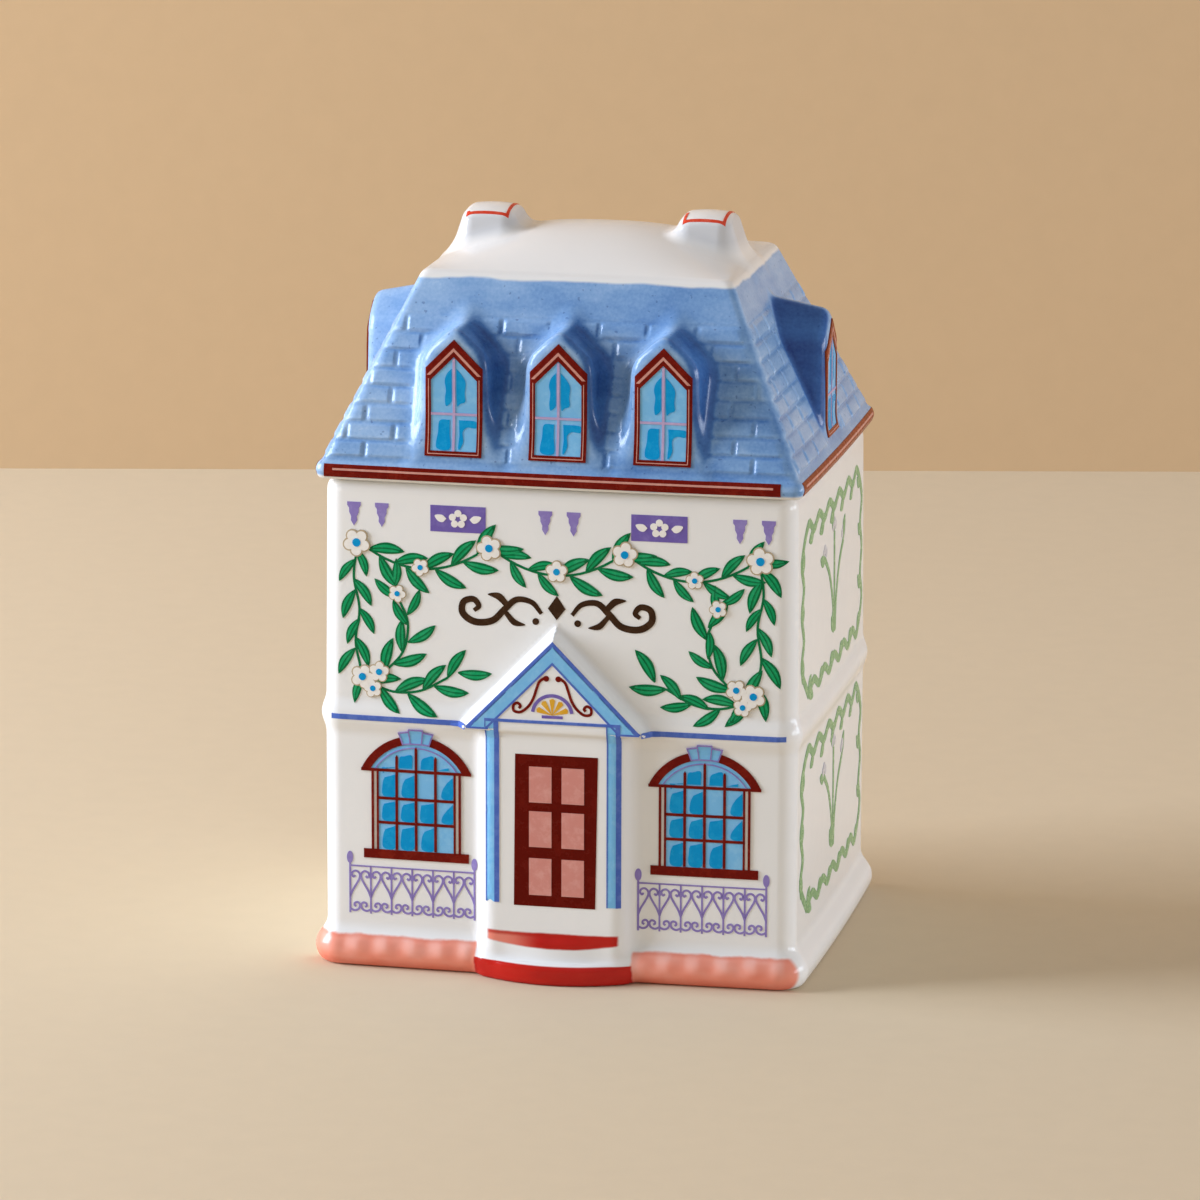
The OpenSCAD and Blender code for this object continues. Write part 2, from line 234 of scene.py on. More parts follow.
def slate_relief(along, up, seed):
    """Height of the soft slates that are cast into a slope, by place along and up it."""
    course = np.floor((up - SLATE_FOOT) / SLATE_H)
    lift = (up - SLATE_FOOT) / SLATE_H - course
    wander = np.sin(course * 12.9898 + seed) * 43758.5453
    wander = (wander - np.floor(wander) - 0.5) * 1.4
    place = along / SLATE_W + 0.5 * np.mod(course, 2) + 0.22 * wander
    slate = np.floor(place)
    tone = np.sin(slate * 78.233 + course * 37.719 + seed) * 24634.6345
    tone = tone - np.floor(tone)
    joint = np.abs(place - np.round(place)) * SLATE_W
    bed = np.minimum(lift, 1 - lift) * SLATE_H
    rise = smooth_step(joint, 0.0, 0.55) * smooth_step(bed, 0.0, 0.5)
    rise = rise * (SLATE_RELIEF * (0.8 + 0.4 * tone) + 0.05 * (0.5 - lift))
    head = SLATE_COURSES * SLATE_H
    return rise * smooth_step(up, 0.5, 1.1) * (1 - smooth_step(up, head + 0.5, head + 1.2))


def dormer_distance(along, back, z, draft, rise):
    """Distance from one dormer, by place across it and back from its face. Its cheeks flare down and back."""
    shoulder = SILL_Z + DORMER_CHEEK
    flare = DORMER_SPLAY * np.maximum(shoulder - z, 0) + draft * np.maximum(back, 0)
    cheek = (np.abs(along) - DORMER_W / 2 - flare) * 0.94
    apex = shoulder + DORMER_GABLE + rise * np.maximum(back, 0)
    across = np.hypot(along, DORMER_RIDGE_R)
    cover = (across * DORMER_GABLE + (z - apex) * DORMER_HOOD) / math.hypot(DORMER_GABLE, DORMER_HOOD)
    shape = smooth_max(smooth_max(cheek, cover, 1.1), -back, 1.3)
    return smooth_max(smooth_max(shape, SILL_Z - 1.2 - z, 0.5), back - 11.5, 0.8)


def front_dormers(x, y, z):
    """Distances from the three front dormers, with y from the middle of the house."""
    back = y + EAVE_D / 2 - DORMER_SETBACK
    shifts = (DORMER_PITCH, 0.0, -DORMER_PITCH)
    return [dormer_distance(x + shift, back, z, FRONT_DRAFT, 0.0) for shift in shifts]


def side_dormers(x, y, z):
    """Distance from the nearer of the two side dormers, with y from the middle of the house."""
    return dormer_distance(y, EAVE_W / 2 - DORMER_SETBACK - np.abs(x), z, SIDE_DRAFT, SIDE_RISE)


def lid_painted_shade(points, normals):
    """Painted shade in the blue wash: towards the right, on the right flanks of the front dormers and on the
    front flank of the right-hand side dormer.
    """
    x, y, z = points.T
    front = np.minimum.reduce(front_dormers(x, y - HOUSE_Y, z))
    sides = side_dormers(x, y - HOUSE_Y, z)
    right_flank = smooth_step(normals[:, 0], 0.02, 0.5) * (1 - smooth_step(front, 0.8, 3.0))
    front_flank = smooth_step(-normals[:, 1], 0.1, 0.5) * (1 - smooth_step(sides, 0.1, 0.7)) * (x > 0)
    rightwards = smooth_step(x, -24, 24) * smooth_step(-normals[:, 1], 0.3, 0.7)
    return np.maximum.reduce([0.9 * right_flank, front_flank, 0.26 * rightwards])


def lid_distance(x, y, z):
    """Signed distance in millimetres from the lid's skin, negative in the china."""
    y = y - HOUSE_Y
    half_w = EAVE_W / 2 + bowed(y, EAVE_D / 2, SIDE_EAVE_BOW)
    half_d = EAVE_D / 2 + bowed(x, EAVE_W / 2, FRONT_EAVE_BOW)
    edge = rounded_box(x, y, half_w, half_d, EAVE_R)
    eave = smooth_max(edge, np.abs(z - JAR_H - EAVE_H / 2) - EAVE_H / 2, 0.9)
    up = (z - SLOPE_Z) / LEAN_OUT
    belly_d = bowed(x, SLOPE_W / 2, FRONT_SLOPE_BOW)
    belly_w = bowed(y, SLOPE_D / 2, SIDE_SLOPE_BOW)
    front = (-y - SLOPE_D / 2 - belly_d) * LEAN_OUT + (z - SLOPE_Z) * LEAN_UP
    back = (y - SLOPE_D / 2 - belly_d) * LEAN_OUT + (z - SLOPE_Z) * LEAN_UP
    right = (x - SLOPE_W / 2 - belly_w) * LEAN_OUT + (z - SLOPE_Z) * LEAN_UP
    left = (-x - SLOPE_W / 2 - belly_w) * LEAN_OUT + (z - SLOPE_Z) * LEAN_UP
    # Slates run out beside the dormers and at the hips, where the mould didn't keep them
    dormers = front_dormers(x, y, z)
    sides = side_dormers(x, y, z)
    inset = (z - SLOPE_Z) * SLOPE_RUN / SLOPE_RISE
    keep_d = smooth_step(SLOPE_W / 2 - inset - np.abs(x), 0.2, 1.4)
    keep_w = smooth_step(SLOPE_D / 2 - inset - np.abs(y), 0.2, 1.4) * smooth_step(sides, 0.4, 1.2)
    front = front - slate_relief(x, up, 1.0) * keep_d * smooth_step(np.minimum.reduce(dormers), 0.4, 2.0)
    back = back - slate_relief(x, up, 2.0) * keep_d
    right = right - slate_relief(y, up, 3.0) * keep_w
    left = left - slate_relief(y, up, 4.0) * keep_w
    roof = smooth_max(smooth_max(front, back, 1.0), smooth_max(right, left, 1.0), 1.0)
    dome_w = 1 - np.clip(np.abs(x) / TOP_W * 2, 0, 1) ** 2.6
    dome_d = 1 - np.clip(np.abs(y) / TOP_D * 2, 0, 1) ** 2.0
    crown = (z - TOP_Z - CROWN_RISE * dome_w * dome_d) * 0.9
    roof = smooth_max(smooth_max(roof, crown, 0.7), SLOPE_Z - 1.0 - z, 0.3)
    skin = smooth_min(eave, roof, 0.5)
    for dormer in dormers:
        skin = smooth_min(skin, dormer, FRONT_FILLET)
    skin = smooth_min(skin, sides, SIDE_FILLET)
    across = np.abs(x) - CHIMNEY_X
    stack = rounded_box(across, y, CHIMNEY_W / 2, CHIMNEY_D / 2, CHIMNEY_R)
    stack = stack - CHIMNEY_DRAW * np.maximum(CHIMNEY_Z - z, 0)
    cap = z - CHIMNEY_Z + 0.03 * across * across + 0.055 * y * y
    stack = smooth_max(smooth_max(stack * 0.95, cap, 0.8), TOP_Z - 1 - z, 0.5)
    skin = smooth_min(skin, stack, 1.8)
    plug = smooth_max(np.hypot(x, y) - PLUG_R, np.abs(z - JAR_H + PLUG_H / 2) - PLUG_H / 2, 0.6)
    skin = smooth_min(skin, plug, 0.5)
    inward = ROOF_T / LEAN_OUT
    room_d = (np.abs(y) - SLOPE_D / 2 + inward) * LEAN_OUT + (z - SLOPE_Z) * LEAN_UP
    room_w = (np.abs(x) - SLOPE_W / 2 + inward) * LEAN_OUT + (z - SLOPE_Z) * LEAN_UP
    room = smooth_max(smooth_max(room_d, room_w, 3.0), z - TOP_Z + ROOF_T, 3.0)
    room = smooth_max(room, JAR_H + ROOF_T - z, 1.5)
    bore = smooth_max(np.hypot(x, y) - PLUG_R + PLUG_T, z - JAR_H - ROOF_T - 1, 0.5)
    skin = smooth_max(smooth_max(skin, -room, 0.8), -bore, 0.8)
    groove = smooth_max(GROOVE_R - np.hypot(x, y), np.abs(z - SEAL_MID) - SEAL_H / 2, 0.2)
    return smooth_max(skin, -groove, 0.3)


# Meshes round those shapes


def gradient(distance, points):
    """Unit normals of a distance function at some points."""
    reach = 0.02
    parts = []
    for axis in range(3):
        shift = np.zeros(3)
        shift[axis] = reach
        parts.append(distance(*(points + shift).T) - distance(*(points - shift).T))
    normal = np.stack(parts, -1)
    return normal / np.maximum(np.linalg.norm(normal, axis=1, keepdims=True), 1e-9)


def settle(distance, points, rounds=2):
    """Moves points along the normals on to the surface."""
    for _ in range(rounds):
        points = points - gradient(distance, points) * distance(*points.T)[:, None]
    return points


def surface_net(distance, axes):
    """Wraps quads round a shape, with one point in each grid cell that its surface crosses."""
    across, deep, high = (axis.astype(np.float32) for axis in axes)
    slabs = [across[start:start + 8, None, None] for start in range(0, len(across), 8)]
    field = np.concatenate([distance(slab, deep[None, :, None], high[None, None, :]) for slab in slabs])
    solid = field < 0
    shape = [size - 1 for size in field.shape]
    filled = np.zeros(shape, np.int8)
    for dx, dy, dz in product((0, 1), repeat=3):
        filled += solid[dx:dx + shape[0], dy:dy + shape[1], dz:dz + shape[2]]
    crossed = (filled > 0) & (filled < 8)
    cells = np.argwhere(crossed)
    number = np.full(shape, -1, np.int64)
    number[crossed] = np.arange(len(cells))
    total = np.zeros((len(cells), 3))
    count = np.zeros((len(cells), 1))
    for axis in range(3):
        for offset in product((0, 1), repeat=2):
            start = cells + np.insert(np.array(offset), axis, 0)
            end = start + np.eye(3, dtype=int)[axis]
            a = field[tuple(start.T)]
            b = field[tuple(end.T)]
            cut = (a < 0) != (b < 0)
            share = np.where(cut, a / np.where(cut, a - b, 1), 0)[:, None]
            low = np.stack([axes[k][start[:, k]] for k in range(3)], -1)
            high = np.stack([axes[k][end[:, k]] for k in range(3)], -1)
            total += cut[:, None] * (low + share * (high - low))
            count += cut[:, None]
    quads = []
    for axis in range(3):
        b, c = (axis + 1) % 3, (axis + 2) % 3
        before = np.take(solid, range(shape[axis]), axis)
        after = np.take(solid, range(1, shape[axis] + 1), axis)
        edges = np.argwhere(before != after)
        inner = np.all([(edges[:, k] > 0) & (edges[:, k] < shape[k]) for k in (b, c)], axis=0)
        edges = edges[inner]
        corners = []
        for step_b, step_c in ((1, 1), (0, 1), (0, 0), (1, 0)):
            cell = edges.copy()
            cell[:, b] -= step_b
            cell[:, c] -= step_c
            corners.append(number[tuple(cell.T)])
        ring = np.stack(corners, -1)
        outward = before[tuple(edges.T)]
        quads.append(np.where(outward[:, None], ring, ring[:, ::-1]))
    return total / count, np.concatenate(quads)


def spaced(stops):
    """Grid places from (start, step) pairs, the last pair giving only the end."""
    places = [np.arange(start, end, step) for (start, step), (end, _) in zip(stops, stops[1:])]
    return np.append(np.concatenate(places), stops[-1][0])


def link(name, mesh):
    """Puts a finished mesh into the scene as an object at the origin."""
    piece = bpy.data.objects.new(name, mesh)
    bpy.context.scene.collection.objects.link(piece)
    return piece


def plain_mesh(holder):
    """The evaluated mesh of an object with live modifiers, as plain data."""
    view = bpy.context.evaluated_depsgraph_get()
    return bpy.data.meshes.new_from_object(holder.evaluated_get(view), depsgraph=view)


def no_painted_shade(points, normals):
    """A piece with no painted shade laid on by place."""
    return np.zeros(len(points))


def china_piece(name, distance, axes, triangles, material, body, node, painted_shade=no_painted_shade):
    """A closed china shell round a distance function, with attributes that carry painted shade and mark its
    sharp edges.
    """
    points, quads = surface_net(distance, axes)
    mesh = bpy.data.meshes.new(name)
    mesh.from_pydata((settle(distance, points) * MM).tolist(), [], quads.tolist())
    holder = link(name + "_net", mesh)
    if 2 * len(quads) > triangles:
        thin = holder.modifiers.new("Thin", "DECIMATE")
        thin.ratio = triangles / (2 * len(quads))
    made = plain_mesh(holder)
    bpy.data.objects.remove(holder)
    made.name = name
    places = np.empty(3 * len(made.vertices), np.float32)
    made.vertices.foreach_get("co", places)
    places = settle(distance, places.reshape(-1, 3).astype(float) / MM, 1)
    normals = gradient(distance, places)
    made.vertices.foreach_set("co", (places * MM).astype(np.float32).ravel())
    # Painted shade is kept at each point: one value grows in hollows, another comes from the shade function
    # given for the piece, and a third grows on sharp edges
    near = 0.7
    hollow_shade = (near - distance(*(places + near * normals).T)) / near
    edge = (near + distance(*(places - near * normals).T)) / near
    for title, values in (("hollow_shade", hollow_shade), ("edge", edge), ("painted_shade", painted_shade(places, normals))):
        layer = made.attributes.new(title, "FLOAT", "POINT")
        layer.data.foreach_set("value", np.clip(values, 0, 1).astype(np.float32))
    made.shade_smooth()
    made.normals_split_custom_set_from_vertices(normals.tolist())
    made.materials.append(material)
    made.update()
    piece = link(name, made)
    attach(piece, body)
    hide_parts(node)
    return piece


# Painted decoration

# Where each wall is looked at from: the start of a look, what across and up add to it, and the way it looks
WALLS = {
    "front": ((0, HOUSE_Y - 60, 0), (1, 0, 0), (0, 0, 1), (0, 1, 0)),
    "right": ((60, HOUSE_Y, 0), (0, 1, 0), (0, 0, 1), (-1, 0, 0)),
    "back": ((0, HOUSE_Y + 60, 0), (-1, 0, 0), (0, 0, 1), (0, -1, 0)),
    "left": ((-60, HOUSE_Y, 0), (0, -1, 0), (0, 0, 1), (1, 0, 0)),
    "top": ((0, HOUSE_Y, 130), (1, 0, 0), (0, 1, 0), (0, 0, -1)),
}

# How far paint stands proud of the china, and how thick its closed skin is
PAINT_PROUD, PAINT_T = 0.05, 0.2


class Drawing:
    """Flat shapes in one paint, in millimetres across and up a wall, with a small lift for each."""

    def __init__(self):
        self.points = []
        self.faces = []
        self.shapes = 0

    def add(self, points, faces):
        """Adds points with their lifts, and faces that count from the first of these points."""
        start = len(self.points)
        self.points += points
        self.faces += [tuple(start + corner for corner in face) for face in faces]

    def keep(self, points, faces, lift):
        """Adds one shape. Neighbouring shapes lie a few microns apart, so that no two share a surface."""
        self.shapes += 1
        raised = lift + 0.004 * (self.shapes % 6)
        self.add([(point[0], point[1], raised) for point in points], faces)

    def shape(self, outline, *holes, lift=0.0):
        """A filled outline, with holes where more outlines are given."""
        loops = [[Vector((p[0], p[1], 0)) for p in loop] for loop in (outline, *holes)]
        points = [tuple(p) for loop in loops for p in loop]
        self.keep(points, [tuple(face) for face in tessellate_polygon(loops)], lift)

    def box(self, left, low, right, high, lift=0.0):
        """A filled upright rectangle."""
        self.shape([(left, low), (right, low), (right, high), (left, high)], lift=lift)

    def disc(self, centre, across, tall=None, lift=0.0, sides=20):
        """A filled circle of a radius, or an ellipse where a second radius is given."""
        turns = [2 * math.pi * side / sides for side in range(sides)]
        tall = across if tall is None else tall
        ring = [(centre[0] + across * math.cos(t), centre[1] + tall * math.sin(t)) for t in turns]
        self.shape(ring, lift=lift)

    def stroke(self, path, width, lift=0.0, closed=False, taper=0.0):
        """A brush line along a path. A taper of 1 brings both of its ends to points."""
        line = np.array(path, float)
        if closed:
            ahead, behind = np.roll(line, -1, 0), np.roll(line, 1, 0)
        else:
            ahead = np.vstack([line[1:], 2 * line[-1:] - line[-2:-1]])
            behind = np.vstack([2 * line[:1] - line[1:2], line[:-1]])
        toward = (ahead - line) / np.linalg.norm(ahead - line, axis=1, keepdims=True)
        along = (line - behind) / np.linalg.norm(line - behind, axis=1, keepdims=True)
        middle = toward + along
        middle = middle / np.maximum(np.linalg.norm(middle, axis=1, keepdims=True), 1e-6)
        mitre = np.clip((middle * toward).sum(1, keepdims=True), 0.5, 1)
        share = np.linspace(0, 1, len(line))
        thin = 1 - taper * (1 - np.sin(np.pi * np.clip(share, 0.02, 0.98)) ** 0.5)
        half = (0.5 * width * thin)[:, None] / mitre
        side = np.stack([-middle[:, 1], middle[:, 0]], -1) * half
        count = len(line)
        faces = [(k, k + 1, count + k + 1, count + k) for k in range(count - 1)]
        if closed:
            faces.append((count - 1, 0, count, 2 * count - 1))
        self.keep(np.vstack([line - side, line + side]).tolist(), faces, lift)

    def take(self, mesh):
        """Adds the flat faces of a mesh in metres, whose z is its lift."""
        self.add([tuple(v.co / MM) for v in mesh.vertices], [face.vertices for face in mesh.polygons])


def curved(path, steps=6):
    """A smooth line through a few points."""
    line = [Vector(p).to_2d() for p in path]
    line = [2 * line[0] - line[1]] + line + [2 * line[-1] - line[-2]]
    smooth = []
    for a, b, c, d in zip(line, line[1:], line[2:], line[3:]):
        bend, twist = 2 * a - 5 * b + 4 * c - d, 3 * b - a - 3 * c + d
        for step in range(steps):
            t = step / steps
            spot = 2 * b + (c - a) * t + bend * t * t + twist * t ** 3
            smooth.append(tuple(spot / 2))
    return smooth + [tuple(line[-2])]


def moved(path, across=0.0, up=0.0, flip=False):
    """A path shifted along a wall, mirrored first where flip is set."""
    return [((-p[0] if flip else p[0]) + across, p[1] + up) for p in path]


def painted(name, drawing, wall, distance, material, body, longest=1.4):
    """Lays a drawing on a wall as a thin closed skin of paint."""
    flat = bmesh.new()
    spots = [flat.verts.new(p) for p in drawing.points]
    for face in drawing.faces:
        flat.faces.new([spots[corner] for corner in face])
    bmesh.ops.triangulate(flat, faces=flat.faces)
    for _ in range(6):
        long = [e for e in flat.edges if e.calc_length() > longest]
        if not long:
            break
        bmesh.ops.subdivide_edges(flat, edges=long, cuts=1)
        bmesh.ops.triangulate(flat, faces=flat.faces)
    flat.verts.index_update()
    sheet = np.array([v.co for v in flat.verts])
    faces = np.array([[v.index for v in face.verts] for face in flat.faces])
    rim = [tuple(v.index for v in e.verts) for e in flat.edges if len(e.link_faces) == 1]
    flat.free()
    corner = sheet[faces]
    first, second = corner[:, 1] - corner[:, 0], corner[:, 2] - corner[:, 0]
    turned = first[:, 0] * second[:, 1] - first[:, 1] * second[:, 0] < 0
    faces[turned] = faces[turned][:, ::-1]
    start, across, up, look = (np.array(part, float) for part in WALLS[wall])
    spots = start + sheet[:, :1] * across + sheet[:, 1:2] * up
    gone = np.zeros(len(spots))
    for _ in range(60):
        gone += 0.85 * (distance(*(spots + gone[:, None] * look).T) - PAINT_PROUD - sheet[:, 2])
    if gone.max() > 100:
        raise RuntimeError(name + " doesn't lie on its wall")
    outer = spots + gone[:, None] * look
    inner = outer + look * (PAINT_T + sheet[:, 2:3])
    count = len(outer)
    every = faces.tolist() + (faces[:, ::-1] + count).tolist()
    directed = set()
    for a, b, c in faces.tolist():
        directed.update(((a, b), (b, c), (c, a)))
    for a, b in rim:
        a, b = (a, b) if (a, b) in directed else (b, a)
        every.append((b, a, count + a, count + b))
    mesh = bpy.data.meshes.new(name)
    mesh.from_pydata((np.vstack([outer, inner]) * MM).tolist(), [], every)
    mesh.materials.append(material)
    mesh.update()
    piece = link(name, mesh)
    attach(piece, body)
    return piece


def new_tree(name, result, **inputs):
    """A new geometry node tree with its sockets, and what its input node gives."""
    tree = bpy.data.node_groups.new(name, "GeometryNodeTree")
    for title, kind in inputs.items():
        tree.interface.new_socket(title, in_out="INPUT", socket_type="NodeSocket" + kind)
    tree.interface.new_socket(result, in_out="OUTPUT", socket_type="NodeSocketGeometry")
    return tree, add_node(tree, "NodeGroupInput").outputs


def end_tree(tree, copies, paint):
    """Ends a geometry node tree by making its copies real and giving them their paint."""
    real = add_node(tree, "GeometryNodeRealizeInstances", {0: copies.outputs[0]})
    done = add_node(tree, "GeometryNodeSetMaterial", {"Geometry": real.outputs[0], "Material": paint})
    add_node(tree, "NodeGroupOutput", {0: done.outputs[0]})
    return tree


def row_tree():
    """Nodes that repeat a motif along a straight row."""
    tree, given = new_tree("row_of_motifs", "Row", Motif="Geometry", Count="Int", Start="Vector",
                           Step="Vector", Paint="Material")
    line = add_node(tree, "GeometryNodeMeshLine", {
        "Count": given["Count"], "Start Location": given["Start"], "Offset": given["Step"]})
    copies = add_node(tree, "GeometryNodeInstanceOnPoints", {
        "Points": line.outputs[0], "Instance": given["Motif"]})
    return end_tree(tree, copies, given["Paint"])


def spray_tree():
    """Nodes that set leaves along paths, each turned to its path and of its own size."""
    tree, given = new_tree("spray_of_leaves", "Spray", Path="Geometry", Leaf="Object", Spacing="Float",
                           Least="Float", Greatest="Float", Seed="Int", Paint="Material")
    places = add_node(tree, "GeometryNodeCurveToPoints", {
        0: given["Path"], "Length": given["Spacing"]}, mode="LENGTH")
    turn = add_node(tree, "FunctionNodeAlignRotationToVector", {"Vector": places.outputs["Tangent"]},
                    axis="X", pivot_axis="Z")
    size = add_node(tree, "FunctionNodeRandomValue", {
        2: given["Least"], 3: given["Greatest"], "Seed": given["Seed"]}, data_type="FLOAT")
    leaf = add_node(tree, "GeometryNodeObjectInfo", {"Object": given["Leaf"]})
    copies = add_node(tree, "GeometryNodeInstanceOnPoints", {
        "Points": places.outputs[0], "Instance": leaf.outputs["Geometry"], "Rotation": turn.outputs[0],
        "Scale": size.outputs[1]})
    # Neighbouring leaves lie a few microns apart, so that no two share a surface
    index = add_node(tree, "GeometryNodeInputIndex").outputs[0]
    layer = times(tree, maths(tree, "MODULO", index, 5.0), 4e-6)
    raised = add_node(tree, "ShaderNodeCombineXYZ", {2: layer}).outputs[0]
    copies = add_node(tree, "GeometryNodeTranslateInstances", {
        0: copies.outputs[0], "Translation": raised, "Local Space": False})
    return end_tree(tree, copies, given["Paint"])


def flat_mesh(drawing, name):
    """A drawing as a flat mesh in metres, with its lifts in z."""
    mesh = bpy.data.meshes.new(name)
    mesh.from_pydata([tuple(MM * part for part in point) for point in drawing.points], [], drawing.faces)
    return mesh


def run_tree(holder, make, inputs):
    """Gives an object one of the trees, and returns what it makes as a drawing. The object goes."""
    name = {row_tree: "row_of_motifs", spray_tree: "spray_of_leaves"}[make]
    tree = bpy.data.node_groups.get(name) or make()
    nodes = holder.modifiers.new("Nodes", "NODES")
    nodes.node_group = tree
    for item in tree.interface.items_tree:
        if item.in_out == "INPUT" and item.name in inputs:
            nodes[item.identifier] = inputs[item.name]
    mesh = plain_mesh(holder)
    made = Drawing()
    made.take(mesh)
    bpy.data.objects.remove(holder)
    bpy.data.meshes.remove(mesh)
    return made


def in_row(drawing, count, start, step, paint):
    """Repeats a drawing across a wall, from a start and by a step."""
    holder = link("motif", flat_mesh(drawing, "motif"))
    return run_tree(holder, row_tree, {
        "Count": count, "Start": (start * MM, 0, 0), "Step": (step * MM, 0, 0), "Paint": enamel(paint)})


def along_paths(leaf, paths, spacing, least, greatest, paint, seed=3):
    """Sets a leaf drawing along each of some paths."""
    line = bpy.data.curves.new("path", "CURVE")
    line.dimensions = "3D"
    for path in paths:
        spline = line.splines.new("POLY")
        spline.points.add(len(path) - 1)
        for point, place in zip(spline.points, path):
            point.co = (place[0] * MM, place[1] * MM, 0, 1)
    leaf_holder = link("leaf", flat_mesh(leaf, "leaf"))
    made = run_tree(link("path", line), spray_tree, {
        "Leaf": leaf_holder, "Spacing": spacing * MM, "Least": least, "Greatest": greatest, "Seed": seed,
        "Paint": enamel(paint)})
    bpy.data.objects.remove(leaf_holder)
    return made


# Materials


def blank(name):
    """A new material with no nodes yet, and its node tree."""
    made = bpy.data.materials.new(name)
    made.use_nodes = True
    made.node_tree.nodes.clear()
    return made, made.node_tree


def object_place(tree):
    """Where a point lies on its object."""
    return add_node(tree, "ShaderNodeTexCoord").outputs["Object"]


def attribute(tree, name):
    """One of the values that a china piece keeps at its points."""
    return add_node(tree, "ShaderNodeAttribute", attribute_name=name).outputs["Fac"]


def end_glazed(tree, place, colour, rough, shine, index=1.52):
    """Ends a material as a hard glaze, with a faint ripple in waves of about 3 mm."""
    ripple = add_node(tree, "ShaderNodeBump", {
        "Height": noise(tree, place, 330.0, 2.0), "Strength": 0.035, "Distance": 0.0004}).outputs[0]
    shader = add_node(tree, "ShaderNodeBsdfPrincipled", {
        "Base Color": colour, "Roughness": rough, "IOR": index, "Specular IOR Level": shine,
        "Normal": ripple})
    add_node(tree, "ShaderNodeOutputMaterial", {0: shader.outputs[0]})


def bone_china():
    """Slip-cast bone china in a clear glaze: warm white and glossy, with painted shade that greys it in
    hollows.
    """
    made, tree = blank("glazed_bone_china")
    place = object_place(tree)
    x, y, z = split(tree, place)
    white = blend(tree, noise(tree, place, 90.0, 3.0), "#ECEDEC", "#F3F3F2")
    # Painted shade greys the white in hollows
    white = blend(tree, times(tree, attribute(tree, "hollow_shade"), 0.8), white, "#D2D0CD")
    # The plinth's rose wash is dabbed on in patches of about 5 mm, on the front alone
    dab = noise(tree, place, 210.0, 4.0, 0.6)
    waver = maths(tree, "MULTIPLY_ADD", dab, 0.0009, -0.00045)
    level = maths(tree, "ADD", z, waver)
    # It wraps further round the left corner than round the right one
    round_end = maths(tree, "MULTIPLY_ADD", x, 0.0467, y)
    reach = maths(tree, "ADD", maths(tree, "ABSOLUTE", x), waver)
    rose = times(tree, ramp(tree, level, 0.0039, 0.0043, 1.0, 0.0),
                 ramp(tree, round_end, -0.0223, -0.0216, 1.0, 0.0), ramp(tree, reach, 0.0096, 0.0100))
    spread = add_node(tree, "ShaderNodeMapping", {0: place, 3: (200.0, 200.0, 330.0)}).outputs[0]
    patch = noise(tree, spread, 1.0, 2.0)
    tint = colours(tree, patch, (0.30, "#EE866C"), (0.52, "#F0957E"), (0.76, "#F2A796"))
    # Painted highlights: the rose is paler on the crown of each stone, and more so upwards. The wash thickens
    # along both of its edges
    swing = maths(tree, "MULTIPLY_ADD", x, 2 * math.pi / (STONE_W * MM), times(tree, dab, 2.4))
    stone_highlight = ramp(tree, maths(tree, "COSINE", swing), -0.6, 1.0, 0.1, 0.4)
    stone_highlight = times(tree, stone_highlight, ramp(tree, level, 0.0014, 0.0032))
    brow = ramp(tree, level, 0.0035, 0.0040, 0.0, 0.4)
    hem = ramp(tree, level, 0.0006, 0.0014, 0.5, 0.0)
    tint = blend(tree, stone_highlight, tint, "#F5CEC4")
    tint = blend(tree, maths(tree, "MAXIMUM", brow, hem), tint, "#DC7059")
    rosy = blend(tree, rose, white, tint)
    # Iron-red bands on the two step fronts. The upper one curves up at its ends and is watery at its left
    even = maths(tree, "MULTIPLY_ADD", waver, 0.35, z)
    low_band = times(tree, ramp(tree, z, 0.00235, 0.0025, 1.0, 0.0),
                     ramp(tree, reach, 0.0098, 0.0101, 1.0, 0.0))
    bend = maths(tree, "POWER", x, 2.0)
    foot = maths(tree, "MULTIPLY_ADD", bend, -12.0, even)
    head = maths(tree, "MULTIPLY_ADD", bend, -2.0, even)
    high_band = times(tree, ramp(tree, foot, 0.0040, 0.0043), ramp(tree, head, 0.0059, 0.0062, 1.0, 0.0),
                      ramp(tree, reach, 0.0080, 0.0084, 1.0, 0.0))
    forward = ramp(tree, y, -0.0241, -0.0236, 1.0, 0.0)
    bands = times(tree, maths(tree, "MAXIMUM", high_band, low_band), forward)
    watery = times(tree, ramp(tree, x, -0.0068, -0.0014, 0.9, 0.0), high_band,
                   ramp(tree, head, 0.0054, 0.0058, 1.0, 0.25))
    red = blend(tree, watery, blend(tree, patch, "#AA0C05", "#CA2014"), "#EC8E7A")
    # The rim that the jar stands on is wiped bare of glaze before firing
    bare = ramp(tree, z, 0.0002, 0.0005, 0.7, 0.14, kind="LINEAR")
    end_glazed(tree, place, blend(tree, bands, rosy, red), bare, 0.3)
    return made


